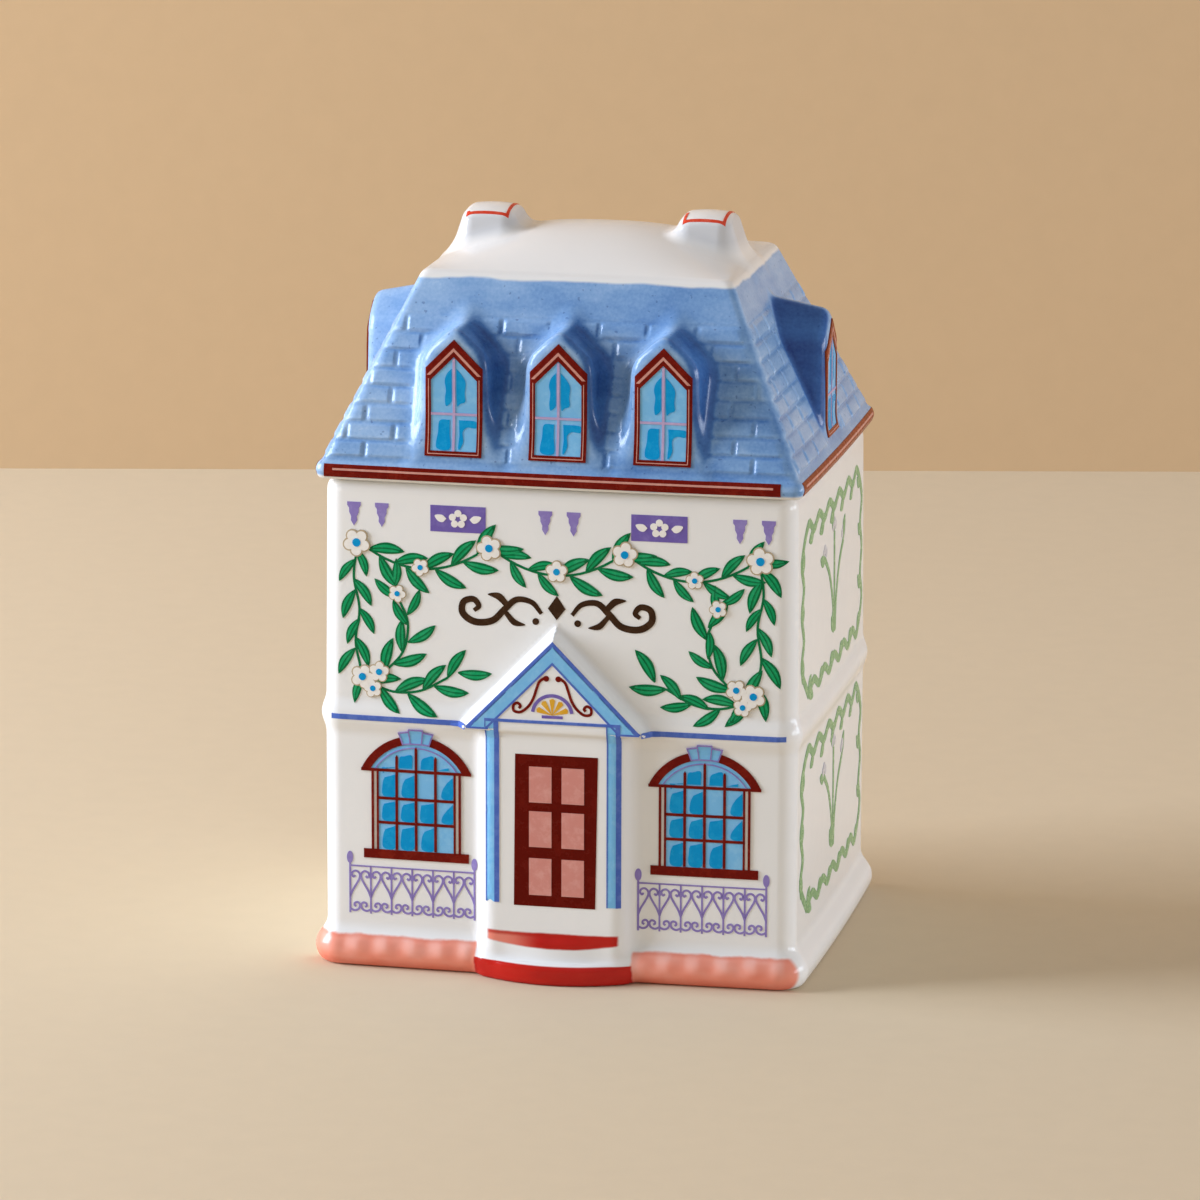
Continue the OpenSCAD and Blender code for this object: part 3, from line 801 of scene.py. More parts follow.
def blue_wash_china():
    """The same china under a brushed blue wash: pale on edges and white on the flat top, deeper where it
    collects in hollows, with painted shade in hollows, on dormer flanks and towards the right.
    """
    made, tree = blank("blue_washed_china")
    place = object_place(tree)
    height = split(tree, place)[2]
    hollow_shade = attribute(tree, "hollow_shade")
    # Brush marks about 7 mm long and 1.5 mm wide, with cobalt grain of about 0.3 mm drawn in them
    spread = add_node(tree, "ShaderNodeMapping", {0: place, 3: (140.0, 140.0, 420.0)}).outputs[0]
    amount = maths(tree, "MULTIPLY_ADD", noise(tree, spread, 1.0, 3.0), 0.42, 0.02)
    # Painted shade deepens the blue in hollows, where the wash also collects, and on the dormer flanks and
    # towards the right. The wash runs pale on edges
    for value, share in (
        (noise(tree, place, 2600.0, 1.0), 0.16), (hollow_shade, 0.36), (attribute(tree, "painted_shade"), 0.5),
        (attribute(tree, "edge"), -0.42),
    ):
        amount = maths(tree, "MULTIPLY_ADD", value, share, amount)
    wash = colours(tree, amount, (0.02, "#CFE1F4"), (0.22, "#9EBFE4"), (0.40, "#78A1D2"), (0.62, "#4677B8"),
                   (0.95, "#193C80"))
    speck = ramp(tree, noise(tree, place, 2100.0, 0.0), 0.77, 0.82, 0.0, 0.4, kind="LINEAR")
    wash = blend(tree, speck, wash, "#1B3F86")
    # The wash stops at the flat top and just above the lower edge of the eaves, in a wavering line
    level = maths(tree, "MULTIPLY_ADD", noise(tree, place, 160.0, 2.0), 0.0008, height)
    bare = maths(tree, "MAXIMUM", ramp(tree, level, 0.0849, 0.0853),
                 ramp(tree, level, 0.0617, 0.0621, 1.0, 0.0))
    # Painted shade greys the white top in its hollows
    white = blend(tree, hollow_shade, "#EEECE8", "#D3D1CE")
    # Painted shade on the upright sides of the chimneys, which stay white on top
    normal = add_node(tree, "ShaderNodeNewGeometry").outputs["Normal"]
    upright = ramp(tree, split(tree, normal)[2], 0.5, 0.9, 0.75, 0.0, kind="LINEAR")
    grey = times(tree, upright, ramp(tree, height, 0.0868, 0.0884, kind="LINEAR"))
    white = blend(tree, grey, white, "#C6C7CA")
    end_glazed(tree, place, blend(tree, bare, wash, white), 0.17, 0.35)
    return made


# Fired-on overglaze enamels: flat, slightly uneven colour with a soft shine, thinner and lighter in places.
# Each has its full colour and the colour that it has where it is thin.
ENAMELS = {
    "oxblood_enamel": ("#6E0F06", "#86200F"),
    "rust_enamel": ("#8A3A1C", "#A8421C"),
    "blush_enamel": ("#CE9284", "#DAA698"),
    "sky_enamel": ("#7CBFEE", "#92CCF2"),
    "azure_enamel": ("#0496D6", "#1EA6DE"),
    "cornflower_enamel": ("#4F6CC0", "#6A84CC"),
    "lilac_enamel": ("#8E7EC0", "#A095CC"),
    "violet_enamel": ("#7261AE", "#8474BA"),
    "mauve_enamel": ("#B9A3C9", "#C6B2D4"),
    "door_enamel": ("#600800", "#6E1206"),
    "salmon_enamel": ("#D48E84", "#DFA49A"),
    "leaf_enamel": ("#12A063", "#34B078"),
    "pine_enamel": ("#067040", "#1A8050"),
    "sage_enamel": ("#82AC7A", "#9FBE8C"),
    "haze_enamel": ("#C6C6CE", "#D2CEC8"),
    "ivory_enamel": ("#F3F0EA", "#FAF8F4"),
    "sand_enamel": ("#B9A88C", "#CABBA2"),
    "gold_enamel": ("#E0A830", "#EBBE58"),
    "umber_enamel": ("#3A2414", "#4E3624"),
    "vermilion_enamel": ("#D8442C", "#E06850"),
}


def enamel(name):
    """One of the fired-on colours, made when it is first asked for."""
    if name in bpy.data.materials:
        return bpy.data.materials[name]
    made, tree = blank(name)
    full, thin = ENAMELS[name]
    place = object_place(tree)
    # Uneven cover in patches of about 1.5 mm, over a printed grain of 0.2 mm
    cover = ramp(tree, noise(tree, place, 650.0, 3.0, 0.7), 0.45, 0.8, kind="LINEAR")
    sheen = ramp(tree, cover, 0.0, 1.0, 0.24, 0.36, kind="LINEAR")
    end_glazed(tree, place, blend(tree, cover, full, thin), sheen, 0.1, index=1.5)
    return made


def silicone():
    """Moulded translucent silicone rubber: milky, slightly clouded, with a low satin sheen and fine dust."""
    made, tree = blank("moulded_silicone")
    place = object_place(tree)
    colour = blend(tree, noise(tree, place, 180.0, 3.0), "#CFCCC4", "#E2DFD8")
    dust = noise(tree, place, 1800.0, 1.0)
    rough = ramp(tree, dust, 0.0, 1.0, 0.42, 0.6, kind="LINEAR")
    bump = add_node(tree, "ShaderNodeBump", {"Height": dust, "Strength": 0.1, "Distance": 0.0001})
    shader = add_node(tree, "ShaderNodeBsdfPrincipled", {
        "Base Color": colour, "Roughness": rough, "IOR": 1.41, "Normal": bump.outputs[0]})
    add_node(tree, "ShaderNodeOutputMaterial", {0: shader.outputs[0]})
    return made


def paper(name, code, one_sided=False):
    """Matt coated paper for the floor and the backdrop, with a faint tooth. It can be clear from behind."""
    made, tree = blank(name)
    base = linear(code)
    darker = tuple(0.95 * part for part in base[:3]) + (1.0,)
    colour = blend(tree, noise(tree, object_place(tree), 260.0, 3.0), darker, base)
    shader = add_node(tree, "ShaderNodeBsdfPrincipled", {"Base Color": colour, "Roughness": 0.8})
    if one_sided:
        behind = add_node(tree, "ShaderNodeNewGeometry").outputs["Backfacing"]
        clear = add_node(tree, "ShaderNodeBsdfTransparent").outputs[0]
        shader = add_node(tree, "ShaderNodeMixShader", {0: behind, 1: shader.outputs[0], 2: clear})
    add_node(tree, "ShaderNodeOutputMaterial", {0: shader.outputs[0]})
    return made


# Settings


class SpiceJarShape(bpy.types.PropertyGroup):
    """How finely the china is meshed."""
    jar_grid: bpy.props.FloatProperty(
        name="Jar Grid", description="Spacing of the points on the jar, in millimetres",
        default=0.45, min=0.2)
    lid_grid: bpy.props.FloatProperty(
        name="Lid Grid", description="Spacing of the points on the lid, in millimetres",
        default=0.27, min=0.15)
    triangles: bpy.props.IntProperty(
        name="Triangles", description="Most triangles in each china piece", default=190000, min=10000)


class SpiceJarStage(bpy.types.PropertyGroup):
    """Floor, backdrop and lamps."""
    floor_colour: bpy.props.StringProperty(
        name="Floor", description="Colour of the floor as an sRGB hex code", default="#DBC9AB")
    wall_colour: bpy.props.StringProperty(
        name="Backdrop", description="Colour of the backdrop as an sRGB hex code", default="#CEAF87")
    wall_y: bpy.props.FloatProperty(
        name="Backdrop Distance", description="How far behind the jar the backdrop stands",
        default=0.286, unit="LENGTH")
    key_power: bpy.props.FloatProperty(
        name="Key Lamp", description="Power of the large lamp at the left", default=12.6, subtype="POWER")
    fill_power: bpy.props.FloatProperty(
        name="Fill Lamp", description="Power of the weak lamp at the right", default=5.4, subtype="POWER")
    sky: bpy.props.FloatProperty(
        name="Ambient", description="Strength of the even light from all round", default=0.47, min=0.0)


# Operators


CAMERA_PLACE = (0.1654, -0.7730, 0.2210)
CAMERA_YAW, CAMERA_PITCH, CAMERA_ROLL = -12.056, 12.746, 0.159
LAMP_COLOUR = "#E4EEFF"


def camera_matrix(place, yaw, pitch, roll):
    """The camera's matrix, for a yaw to the right of +Y, a pitch downwards and a roll, in degrees."""
    yaw, pitch, roll = (math.radians(angle) for angle in (yaw, pitch, roll))
    ahead = Vector((math.sin(yaw) * math.cos(pitch), math.cos(yaw) * math.cos(pitch), -math.sin(pitch)))
    right = Vector((math.cos(yaw), -math.sin(yaw), 0))
    up = right.cross(ahead)
    side = math.cos(roll) * right + math.sin(roll) * up
    top = math.cos(roll) * up - math.sin(roll) * right
    turn = Matrix((side, top, -ahead)).transposed().to_4x4()
    return Matrix.Translation(place) @ turn


class SPICEJAR_OT_stage(bpy.types.Operator):
    """Makes the floor, the backdrop, the lamps and the camera"""
    bl_idname = "spice_jar.stage"
    bl_label = "Stage"

    def execute(self, context):
        settings = context.scene.spice_jar_stage
        reach = 3.0
        # The backdrop stands square to the camera's yaw, and the jar shows through it from behind
        yaw = math.radians(CAMERA_YAW)
        across = Vector((math.cos(yaw), -math.sin(yaw), 0)) * reach
        away = Vector((math.sin(yaw), math.cos(yaw), 0))
        far, back, high = reach * away, settings.wall_y * away, Vector((0, 0, reach))
        floor = bpy.data.meshes.new("floor")
        floor.from_pydata([-far - across, across - far, far + across, far - across], [], [(0, 1, 2, 3)])
        floor.materials.append(paper("pale_paper_floor", settings.floor_colour))
        link("floor", floor)
        wall = bpy.data.meshes.new("backdrop")
        upright = [back - across, back + across, back + across + high, back - across + high]
        wall.from_pydata(upright, [], [(0, 1, 2, 3)])
        wall.materials.append(paper("tan_paper_backdrop", settings.wall_colour, one_sided=True))
        link("backdrop", wall)
        for name, place, wide, tall, power in (
            ("key", (-0.82, -0.17, 0.33), 0.48, 0.48, settings.key_power),
            ("fill", (0.97, 0.12, 0.13), 0.9, 0.24, settings.fill_power),
        ):
            lamp = bpy.data.lights.new(name, "AREA")
            lamp.color = linear(LAMP_COLOUR)[:3]
            lamp.energy = power
            lamp.shape = "RECTANGLE"
            lamp.size = wide
            lamp.size_y = tall
            holder = bpy.data.objects.new(name, lamp)
            context.scene.collection.objects.link(holder)
            holder.location = place
            aim = Vector((0, 0, 0.04)) - holder.location
            holder.rotation_euler = aim.to_track_quat("-Z", "Y").to_euler()
        world = bpy.data.worlds.new("soft_studio")
        world.use_nodes = True
        # Warm near the horizon, as from a room, and cooler overhead
        tree = world.node_tree
        look = add_node(tree, "ShaderNodeTexCoord").outputs["Generated"]
        room = colours(tree, split(tree, look)[2], (0.0, "#FFEFD8"), (0.4, "#FCF4E8"), (0.9, "#EEF4FF"))
        tree.links.new(room, tree.nodes["Background"].inputs[0])
        tree.nodes["Background"].inputs[1].default_value = settings.sky
        context.scene.world = world
        camera = bpy.data.cameras.new("camera")
        camera.sensor_width = 36.0
        camera.lens = 195.0
        camera.clip_end = 20.0
        holder = bpy.data.objects.new("camera", camera)
        context.scene.collection.objects.link(holder)
        holder.matrix_world = camera_matrix(CAMERA_PLACE, CAMERA_YAW, CAMERA_PITCH, CAMERA_ROLL)
        context.scene.camera = holder
        context.scene.view_settings.view_transform = "Standard"
        return {"FINISHED"}


class SPICEJAR_OT_jar(bpy.types.Operator):
    """Makes the jar: walls, plinth, string course, porch, steps and the room inside"""
    bl_idname = "spice_jar.jar"
    bl_label = "Jar"

    def execute(self, context):
        shape = context.scene.spice_jar_shape
        step = shape.jar_grid
        axes = (
            spaced([(-32.4, step), (32.4, 0)]),
            spaced([(-29.6, step), (30.4, 0)]),
            spaced([(-1.1, step), (62.1, 0)]),
        )
        china_piece("jar_china", jar_distance, axes, shape.triangles, bone_china(),
                    "jar", "jar_body")
        return {"FINISHED"}


class SPICEJAR_OT_lid(bpy.types.Operator):
    """Makes the lid: eaves, slates, dormers, hipped top, chimneys and plug"""
    bl_idname = "spice_jar.lid"
    bl_label = "Lid"

    def execute(self, context):
        shape = context.scene.spice_jar_shape
        step = shape.lid_grid
        axes = (
            spaced([(-31.6, step), (31.6, 0)]),
            spaced([(-25.6, step), (28.8, 0)]),
            spaced([(53.1, 0.4), (60.7, step), (92.6, 0)]),
        )
        china_piece("lid_china", lid_distance, axes, shape.triangles, blue_wash_china(),
                    "lid", "lid", lid_painted_shade)
        return {"FINISHED"}


class SPICEJAR_OT_seal(bpy.types.Operator):
    """Gives the seal ring its silicone"""
    bl_idname = "spice_jar.seal"
    bl_label = "Seal Ring"

    def execute(self, context):
        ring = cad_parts["seal_ring"]
        ring.data.materials.clear()
        ring.data.materials.append(silicone())
        return {"FINISHED"}


def on_jar(name, drawing, paint, wall="front"):
    """Paints a drawing on one of the jar's walls."""
    return painted(name, drawing, wall, jar_distance, enamel(paint), "jar")


def on_lid(name, drawing, paint, wall="front"):
    """Paints a drawing on one of the lid's sides."""
    return painted(name, drawing, wall, lid_distance, enamel(paint), "lid", longest=0.6)


def rakes(half, rise, foot, near, far, cut=None):
    """A band along both rakes of a gable, from near to far inside its edge, cut off level at its foot."""
    slant = math.hypot(half, rise)
    cut = foot if cut is None else cut

    def reach(inset):
        return half - (inset * slant + (cut - foot) * half) / rise

    def peak(inset):
        return foot + rise - inset * slant / half
    return [(-reach(near), cut), (0, peak(near)), (reach(near), cut),
            (reach(far), cut), (0, peak(far)), (-reach(far), cut)]


def arc(radius, start, end, centre=(0.0, 0.0), count=24):
    """Points along a circle, between two angles in degrees."""
    angles = [math.radians(start + (end - start) * step / count) for step in range(count + 1)]
    return [(centre[0] + radius * math.cos(a), centre[1] + radius * math.sin(a)) for a in angles]


class SPICEJAR_OT_eaves(bpy.types.Operator):
    """Paints the brown bands, with their light lines, round the eaves"""
    bl_idname = "spice_jar.eaves"
    bl_label = "Eave Bands"

    def execute(self, context):
        for wall, left, right, band in (
            ("front", -28.9, 27.5, "oxblood_enamel"), ("back", -28.4, 28.4, "oxblood_enamel"),
            ("right", -24.4, 24.6, "rust_enamel"), ("left", -24.6, 24.4, "rust_enamel"),
        ):
            drawn = Drawing()
            drawn.box(left, 61.45, right, 63.0)
            on_lid("eave_band_" + wall, drawn, band, wall)
            line = Drawing()
            line.box(left + 1.1, 62.3, right - 0.9, 62.55, lift=0.04)
            on_lid("eave_line_" + wall, line, "blush_enamel", wall)
        return {"FINISHED"}


class SPICEJAR_OT_dormer_windows(bpy.types.Operator):
    """Paints a gabled window on each dormer"""
    bl_idname = "spice_jar.dormer_windows"
    bl_label = "Dormer Windows"

    def execute(self, context):
        half, rise, low, shoulder = 3.53, 3.55, 64.5, 75.2
        outer = [(-half, low), (half, low), (half, shoulder), (0, shoulder + rise), (-half, shoulder)]
        inner = [(-2.86, 65.14), (2.86, 65.14), (2.86, 73.75), (0, 76.62), (-2.86, 73.75)]
        glass = Drawing()
        glass.shape([(1.05 * u, v) for u, v in inner])
        glint = Drawing()
        for outline in (
            [(-0.28, 75.2), (-0.9, 74.5), (-1.15, 73.6), (-1.0, 72.6), (-1.12, 71.4), (-1.0, 70.6),
             (-0.55, 70.8), (-0.28, 71.2)],
            [(0.3, 75.2), (1.0, 74.4), (1.45, 73.5), (1.35, 72.2), (1.4, 71.2), (0.8, 70.9), (0.42, 70.6),
             (0.3, 71.6)],
            [(-0.5, 68.9), (-1.75, 68.8), (-1.95, 67.4), (-2.1, 65.5), (-0.45, 65.4), (-0.5, 67.2)],
            [(0.62, 68.9), (2.7, 68.8), (2.72, 68.0), (1.7, 68.05), (1.12, 67.5), (1.2, 66.3), (0.8, 65.4),
             (0.6, 65.6), (0.72, 67.0)],
        ):
            glint.shape(curved(outline), lift=0.04)
        bars = Drawing()
        bars.box(-0.16, 65.14, 0.16, 76.4, lift=0.08)
        bars.box(-2.86, 69.46, 2.86, 69.76, lift=0.08)
        trim = Drawing()
        trim.shape(outer, inner, lift=0.1)
        lines = Drawing()
        lines.shape(rakes(half, rise, shoulder, 0.72, 1.02, 74.35), lift=0.14)
        for side in (-1, 1):
            lines.box(3.13 * side - 0.05, 64.78, 3.13 * side + 0.05, 73.9, lift=0.14)
        lines.box(-3.1, 64.76, 3.1, 64.86, lift=0.14)
        for title, motif, front_paint, side_paint in (
            ("glass", glass, "sky_enamel", "sky_enamel"), ("glint", glint, "azure_enamel", "azure_enamel"),
            ("bars", bars, "mauve_enamel", "mauve_enamel"), ("frames", trim, "oxblood_enamel", "rust_enamel"),
            ("lines", lines, "blush_enamel", "blush_enamel"),
        ):
            row = in_row(motif, 3, -DORMER_PITCH, DORMER_PITCH, front_paint)
            on_lid("dormer_" + title + "_front", row, front_paint)
            for wall in ("right", "left"):
                on_lid("dormer_" + title + "_" + wall, motif, side_paint, wall)
        return {"FINISHED"}


class SPICEJAR_OT_chimney_rims(bpy.types.Operator):
    """Paints a red line along the front and sides of each chimney's top"""
    bl_idname = "spice_jar.chimney_rims"
    bl_label = "Chimney Rims"

    def execute(self, context):
        rim = Drawing()
        wide, deep = CHIMNEY_W / 2 - 0.45, CHIMNEY_D / 2 - 0.15
        # The brush went further back on the left of one chimney than of the other
        for place, start in ((-CHIMNEY_X, 0.4 - deep), (CHIMNEY_X, 2.4 - deep)):
            path = [(-wide, start), (-wide, -deep), (wide, -deep), (wide, 0.7 * deep)]
            rim.stroke(moved(path, place), 0.36)
        on_lid("chimney_rims", rim, "vermilion_enamel", "top")
        return {"FINISHED"}


WINDOW_X, WINDOW_PITCH, RAILING_X = 17.6, 36.0, 18.15


class SPICEJAR_OT_windows(bpy.types.Operator):
    """Paints the two arched windows, with their keystones and sills"""
    bl_idname = "spice_jar.windows"
    bl_label = "Arched Windows"

    def execute(self, context):
        spring, hub = 25.0, (0.0, 21.8)
        glass = Drawing()
        glass.shape(arc(6.75, 28.5, 151.5, hub))
        glass.box(-4.9, 14.9, 4.9, 24.9)
        glint = Drawing()
        for left, right, lean in ((-4.3, -2.75, 0.8), (-2.2, -0.5, 0.3), (0.55, 2.2, 0.5), (2.75, 4.1, 0.3)):
            top = hub[1] + math.sqrt(5.6 ** 2 - max(abs(left), abs(right)) ** 2)
            high = min(top, 27.2)
            glint.shape(curved([(left, 25.3), (left + 0.15, high - lean), (left + 0.7, high - 0.12),
                                (right, high), (right, 25.3)], 4), lift=0.04)
        columns = ((-4.62, -2.66), (-2.24, -0.26), (0.26, 2.24), (2.66, 4.62))
        rows = ((21.66, 24.6), (18.6, 21.2), (15.05, 18.1))
        fill = ((0.35, 0.5, None, 0.75), (0.3, 0.35, 0.2, 0.8), (0.4, 0.25, 0.45, None))
        for (low, high), shares in zip(rows, fill):
            for (left, right), clear in zip(columns, shares):
                if clear is None:
                    continue
                wide, tall = right - left, high - low
                glint.shape(curved([
                    (right, high - 0.14), (right, low + 0.12),
                    (left + 0.25 + 0.25 * clear * wide, low + 0.12),
                    (left + 0.2 + 0.3 * clear * wide, low + (0.75 - 0.5 * clear) * tall),
                    (left + 0.12 + 0.75 * clear * wide, high - 0.3 - 0.25 * clear * tall)], 4), lift=0.04)
        trim = Drawing()
        outer = math.degrees(math.asin((spring - hub[1]) / 7.65))
        inner = math.degrees(math.asin((spring - hub[1]) / 6.62))
        trim.shape(arc(7.65, outer, 180 - outer, hub) + arc(6.62, 180 - inner, inner, hub), lift=0.08)
        trim.box(-6.95, 24.78, 6.95, 25.14, lift=0.08)
        for side in (-1, 1):
            trim.box(5.5 * side - 0.15, 14.8, 5.5 * side + 0.15, 24.9, lift=0.08)
            trim.box(4.86 * side - 0.13, 14.9, 4.86 * side + 0.13, 24.9, lift=0.08)
        for u, top in ((-2.45, 26.95), (0.0, 28.1), (2.45, 26.95)):
            trim.shape([(u - 0.17, 14.95), (u + 0.17, 14.95), (u + 0.17, top - 0.3), (u, top),
                        (u - 0.17, top - 0.3)], lift=0.08)
        for v in (21.43, 18.35):
            trim.box(-4.9, v - 0.17, 4.9, v + 0.17, lift=0.08)
        trim.box(-6.65, 13.75, 6.65, 14.9, lift=0.08)
        crown = Drawing()
        crown.stroke(arc(6.12, 33, 147, hub), 0.14, lift=0.08)
        key = [(-2.15, 29.75), (-0.9, 29.95), (-0.85, 30.25), (0.85, 30.25), (0.9, 29.95), (2.15, 29.75),
               (1.65, 28.35), (0.7, 28.45), (-0.7, 28.45), (-1.65, 28.35)]
        stone = Drawing()
        stone.shape(key, lift=0.11)
        crown.stroke(key, 0.17, lift=0.15, closed=True)
        for side in (-1, 1):
            crown.stroke([(0.88 * side, 29.95), (0.7 * side, 28.45)], 0.15, lift=0.15)
        for title, motif, paint in (
            ("glass", glass, "sky_enamel"), ("glint", glint, "azure_enamel"),
            ("frames", trim, "oxblood_enamel"), ("keystones", stone, "sky_enamel"),
            ("outlines", crown, "lilac_enamel"),
        ):
            on_jar("window_" + title, in_row(motif, 2, -WINDOW_X, WINDOW_PITCH, paint), paint)
        return {"FINISHED"}


class SPICEJAR_OT_railings(bpy.types.Operator):
    """Paints a scrolled balcony railing under each window"""
    bl_idname = "spice_jar.railings"
    bl_label = "Balcony Railings"

    def execute(self, context):
        bays, low, high = 6, 6.8, 12.6
        wide = 15.8 / bays
        bay = Drawing()
        heart = curved([(0.0, 1.8), (0.3, 2.6), (0.85, 3.55), (1.2, 4.25), (1.2, 4.8), (0.82, 5.14),
                        (0.38, 5.02), (0.22, 4.66), (0.44, 4.36), (0.66, 4.54)])
        curl = curved([(0.0, 0.32), (0.55, 0.1), (1.06, 0.3), (1.24, 0.78), (1.0, 1.14), (0.62, 1.06),
                       (0.54, 0.76), (0.76, 0.62)])
        for path in (heart, curl):
            bay.stroke(moved(path, 0, low), 0.25)
            bay.stroke(moved(path, wide, low, flip=True), 0.25)
        bay.box(-0.06, high - 0.09, wide + 0.06, high + 0.09)
        bar = Drawing()
        bar.box(-0.11, low - 0.2, 0.11, high)
        bar.disc((0, low + 4.6), 0.24, 0.4)
        post = Drawing()
        post.box(-0.12, low - 0.2, 0.12, high + 0.5)
        post.disc((0, high + 1.05), 0.4, 0.78)
        whole = Drawing()
        for start in (-RAILING_X - 7.9, RAILING_X - 7.9):
            for motif, count, first, step in (
                (bay, bays, start, wide), (bar, bays - 1, start + wide, wide), (post, 2, start, bays * wide),
            ):
                part = in_row(motif, count, first, step, "lilac_enamel")
                whole.add(part.points, part.faces)
        on_jar("balcony_railings", whole, "lilac_enamel")
        return {"FINISHED"}


class SPICEJAR_OT_porch(bpy.types.Operator):
    """Paints the door, the pilasters, the gable's border and the line along the string course"""
    bl_idname = "spice_jar.porch"
    bl_label = "Porch Trim"

    def execute(self, context):
        half, rise, foot = 11.1, 11.3, 31.6
        dark = Drawing()
        light = Drawing()
        dark.shape(rakes(half, rise, foot, 0.12, 0.62))
        light.shape(rakes(half, rise, foot, 0.55, 1.95))
        dark.shape(rakes(half, rise, foot, 1.9, 2.15), lift=0.02)
        for side in (-1, 1):
            ends = sorted((side * 10.75, side * 8.0))
            dark.box(ends[0], foot - 0.14, ends[1], foot + 0.1, lift=0.03)
        dark.box(-8.45, 32.5, 8.45, 32.86, lift=0.04)
        for left in (-8.45, 6.7):
            light.box(left, 9.7, left + 1.3, 32.5)
            dark.box(left, 9.7, left + 0.16, 32.5, lift=0.03)
            dark.box(left + 1.15, 9.7, left + 1.75, 32.5, lift=0.03)
        for left, right in ((-28.2, -11.0), (11.0, 28.4)):
            dark.box(left, 31.2, right, 31.85)
        on_jar("porch_border_light", light, "sky_enamel")
        on_jar("porch_border_dark", dark, "cornflower_enamel")
        door = Drawing()
        door.shape([(-4.85, 9.45), (5.3, 9.45), (5.6, 28.5), (-4.7, 28.5)])
        on_jar("door_leaf", door, "door_enamel")
        panels = Drawing()
        for left in (-2.95, 1.1):
            for low, high in ((22.5, 27.0), (16.9, 21.4), (10.85, 15.5)):
                panels.box(left, low, left + 2.8, high, lift=0.05)
        on_jar("door_panels", panels, "salmon_enamel")
        return {"FINISHED"}


class SPICEJAR_OT_tympanum(bpy.types.Operator):
    """Paints a gold fan between two scrolls in the gable"""
    bl_idname = "spice_jar.tympanum"
    bl_label = "Gable Ornament"

    def execute(self, context):
        scrolls = Drawing()
        for flip in (False, True):
            scrolls.stroke(moved(curved([
                (1.0, 38.2), (1.6, 37.7), (1.95, 36.8), (2.35, 35.6), (2.95, 34.6), (3.9, 33.85),
                (4.75, 33.95), (4.8, 34.65), (4.3, 34.95), (3.95, 34.6), (4.15, 34.3)]), flip=flip), 0.34)
            scrolls.disc((-0.75 if flip else 0.75, 38.15), 0.36)
        on_jar("gable_scrolls", scrolls, "oxblood_enamel")
        hub, length, half = 33.6, 1.9, 0.36
        fan = Drawing()
        for angle in range(20, 180, 35):
            lean = math.radians(angle)
            tip = (length * math.cos(lean), hub + length * math.sin(lean))
            side = (-half * math.sin(lean), half * math.cos(lean))
            crest = (tip[0] * 1.1, hub + (tip[1] - hub) * 1.1)
            fan.shape([(0, hub), (tip[0] + side[0], tip[1] + side[1]), crest,
                       (tip[0] - side[0], tip[1] - side[1])])
        on_jar("gable_fan", fan, "gold_enamel")
        arch = Drawing()
        arch.stroke(arc(2.45, 8, 172, (0, hub)), 0.42)
        arch.box(-1.3, 33.2, 1.3, 33.55)
        on_jar("gable_arch", arch, "violet_enamel")
        return {"FINISHED"}


class SPICEJAR_OT_frieze(bpy.types.Operator):
    """Paints the brackets and flowered panels under the eaves, and the flourish below them"""
    bl_idname = "spice_jar.frieze"
    bl_label = "Frieze"

    def execute(self, context):
        bracket = Drawing()
        corbel = [(-0.85, 58.3), (0.85, 58.3), (0.85, 57.85), (0.62, 57.55), (0.6, 57.0), (0.36, 56.5),
                  (0.4, 56.0), (0.0, 55.35), (-0.4, 56.0), (-0.36, 56.5), (-0.6, 57.0), (-0.62, 57.55),
                  (-0.85, 57.85)]
        for side in (-1.75, 1.75):
            bracket.shape(moved(corbel, side))
        row = in_row(bracket, 3, -23.6, 23.9, "lilac_enamel")
        on_jar("frieze_brackets", row, "lilac_enamel")
        panel = Drawing()
        panel.box(-3.45, 55.15, 3.45, 58.4)
        panel_x, panel_pitch = -12.3, 24.9
        row = in_row(panel, 2, panel_x, panel_pitch, "violet_enamel")
        on_jar("frieze_panels", row, "violet_enamel")
        flower = Drawing()
        for petal in range(5):
            turn = math.radians(90 + 72 * petal)
            flower.disc((0.72 * math.cos(turn), 56.78 + 0.72 * math.sin(turn)), 0.44, lift=0.05)
        leaf = curved([(1.45, 56.8), (2.0, 57.25), (2.9, 57.15), (2.5, 56.5), (1.9, 56.35), (1.45, 56.8)], 4)
        for flip in (False, True):
            flower.shape(moved(leaf, flip=flip), lift=0.05)
        row = in_row(flower, 2, panel_x, panel_pitch, "ivory_enamel")
        on_jar("frieze_flowers", row, "ivory_enamel")
        flourish = Drawing()
        flourish.shape([(-1.1, 46.3), (0, 47.9), (1.1, 46.3), (0, 44.9)])
        scroll = curved([(1.9, 45.6), (3.1, 46.95), (5.0, 47.2), (6.5, 45.9), (8.0, 44.45), (10.2, 44.2),
                         (11.7, 45.2), (11.6, 46.6), (10.4, 47.0), (9.7, 46.2), (10.3, 45.6)])
        high_leaf = curved([(5.9, 46.7), (7.1, 47.9), (8.6, 47.7), (7.4, 47.1), (6.4, 46.2)], 5)
        low_leaf = curved([(6.6, 45.4), (5.4, 44.0), (3.9, 44.1), (5.1, 44.7), (6.1, 45.7)], 5)
        for flip in (False, True):
            flourish.stroke(moved(scroll, flip=flip), 0.85, taper=0.55)
            flourish.shape(moved(high_leaf, flip=flip))
            flourish.shape(moved(low_leaf, flip=flip))
            flourish.disc((-2.6 if flip else 2.6, 44.6), 0.42)
        on_jar("plaque_flourish", flourish, "umber_enamel")
        return {"FINISHED"}


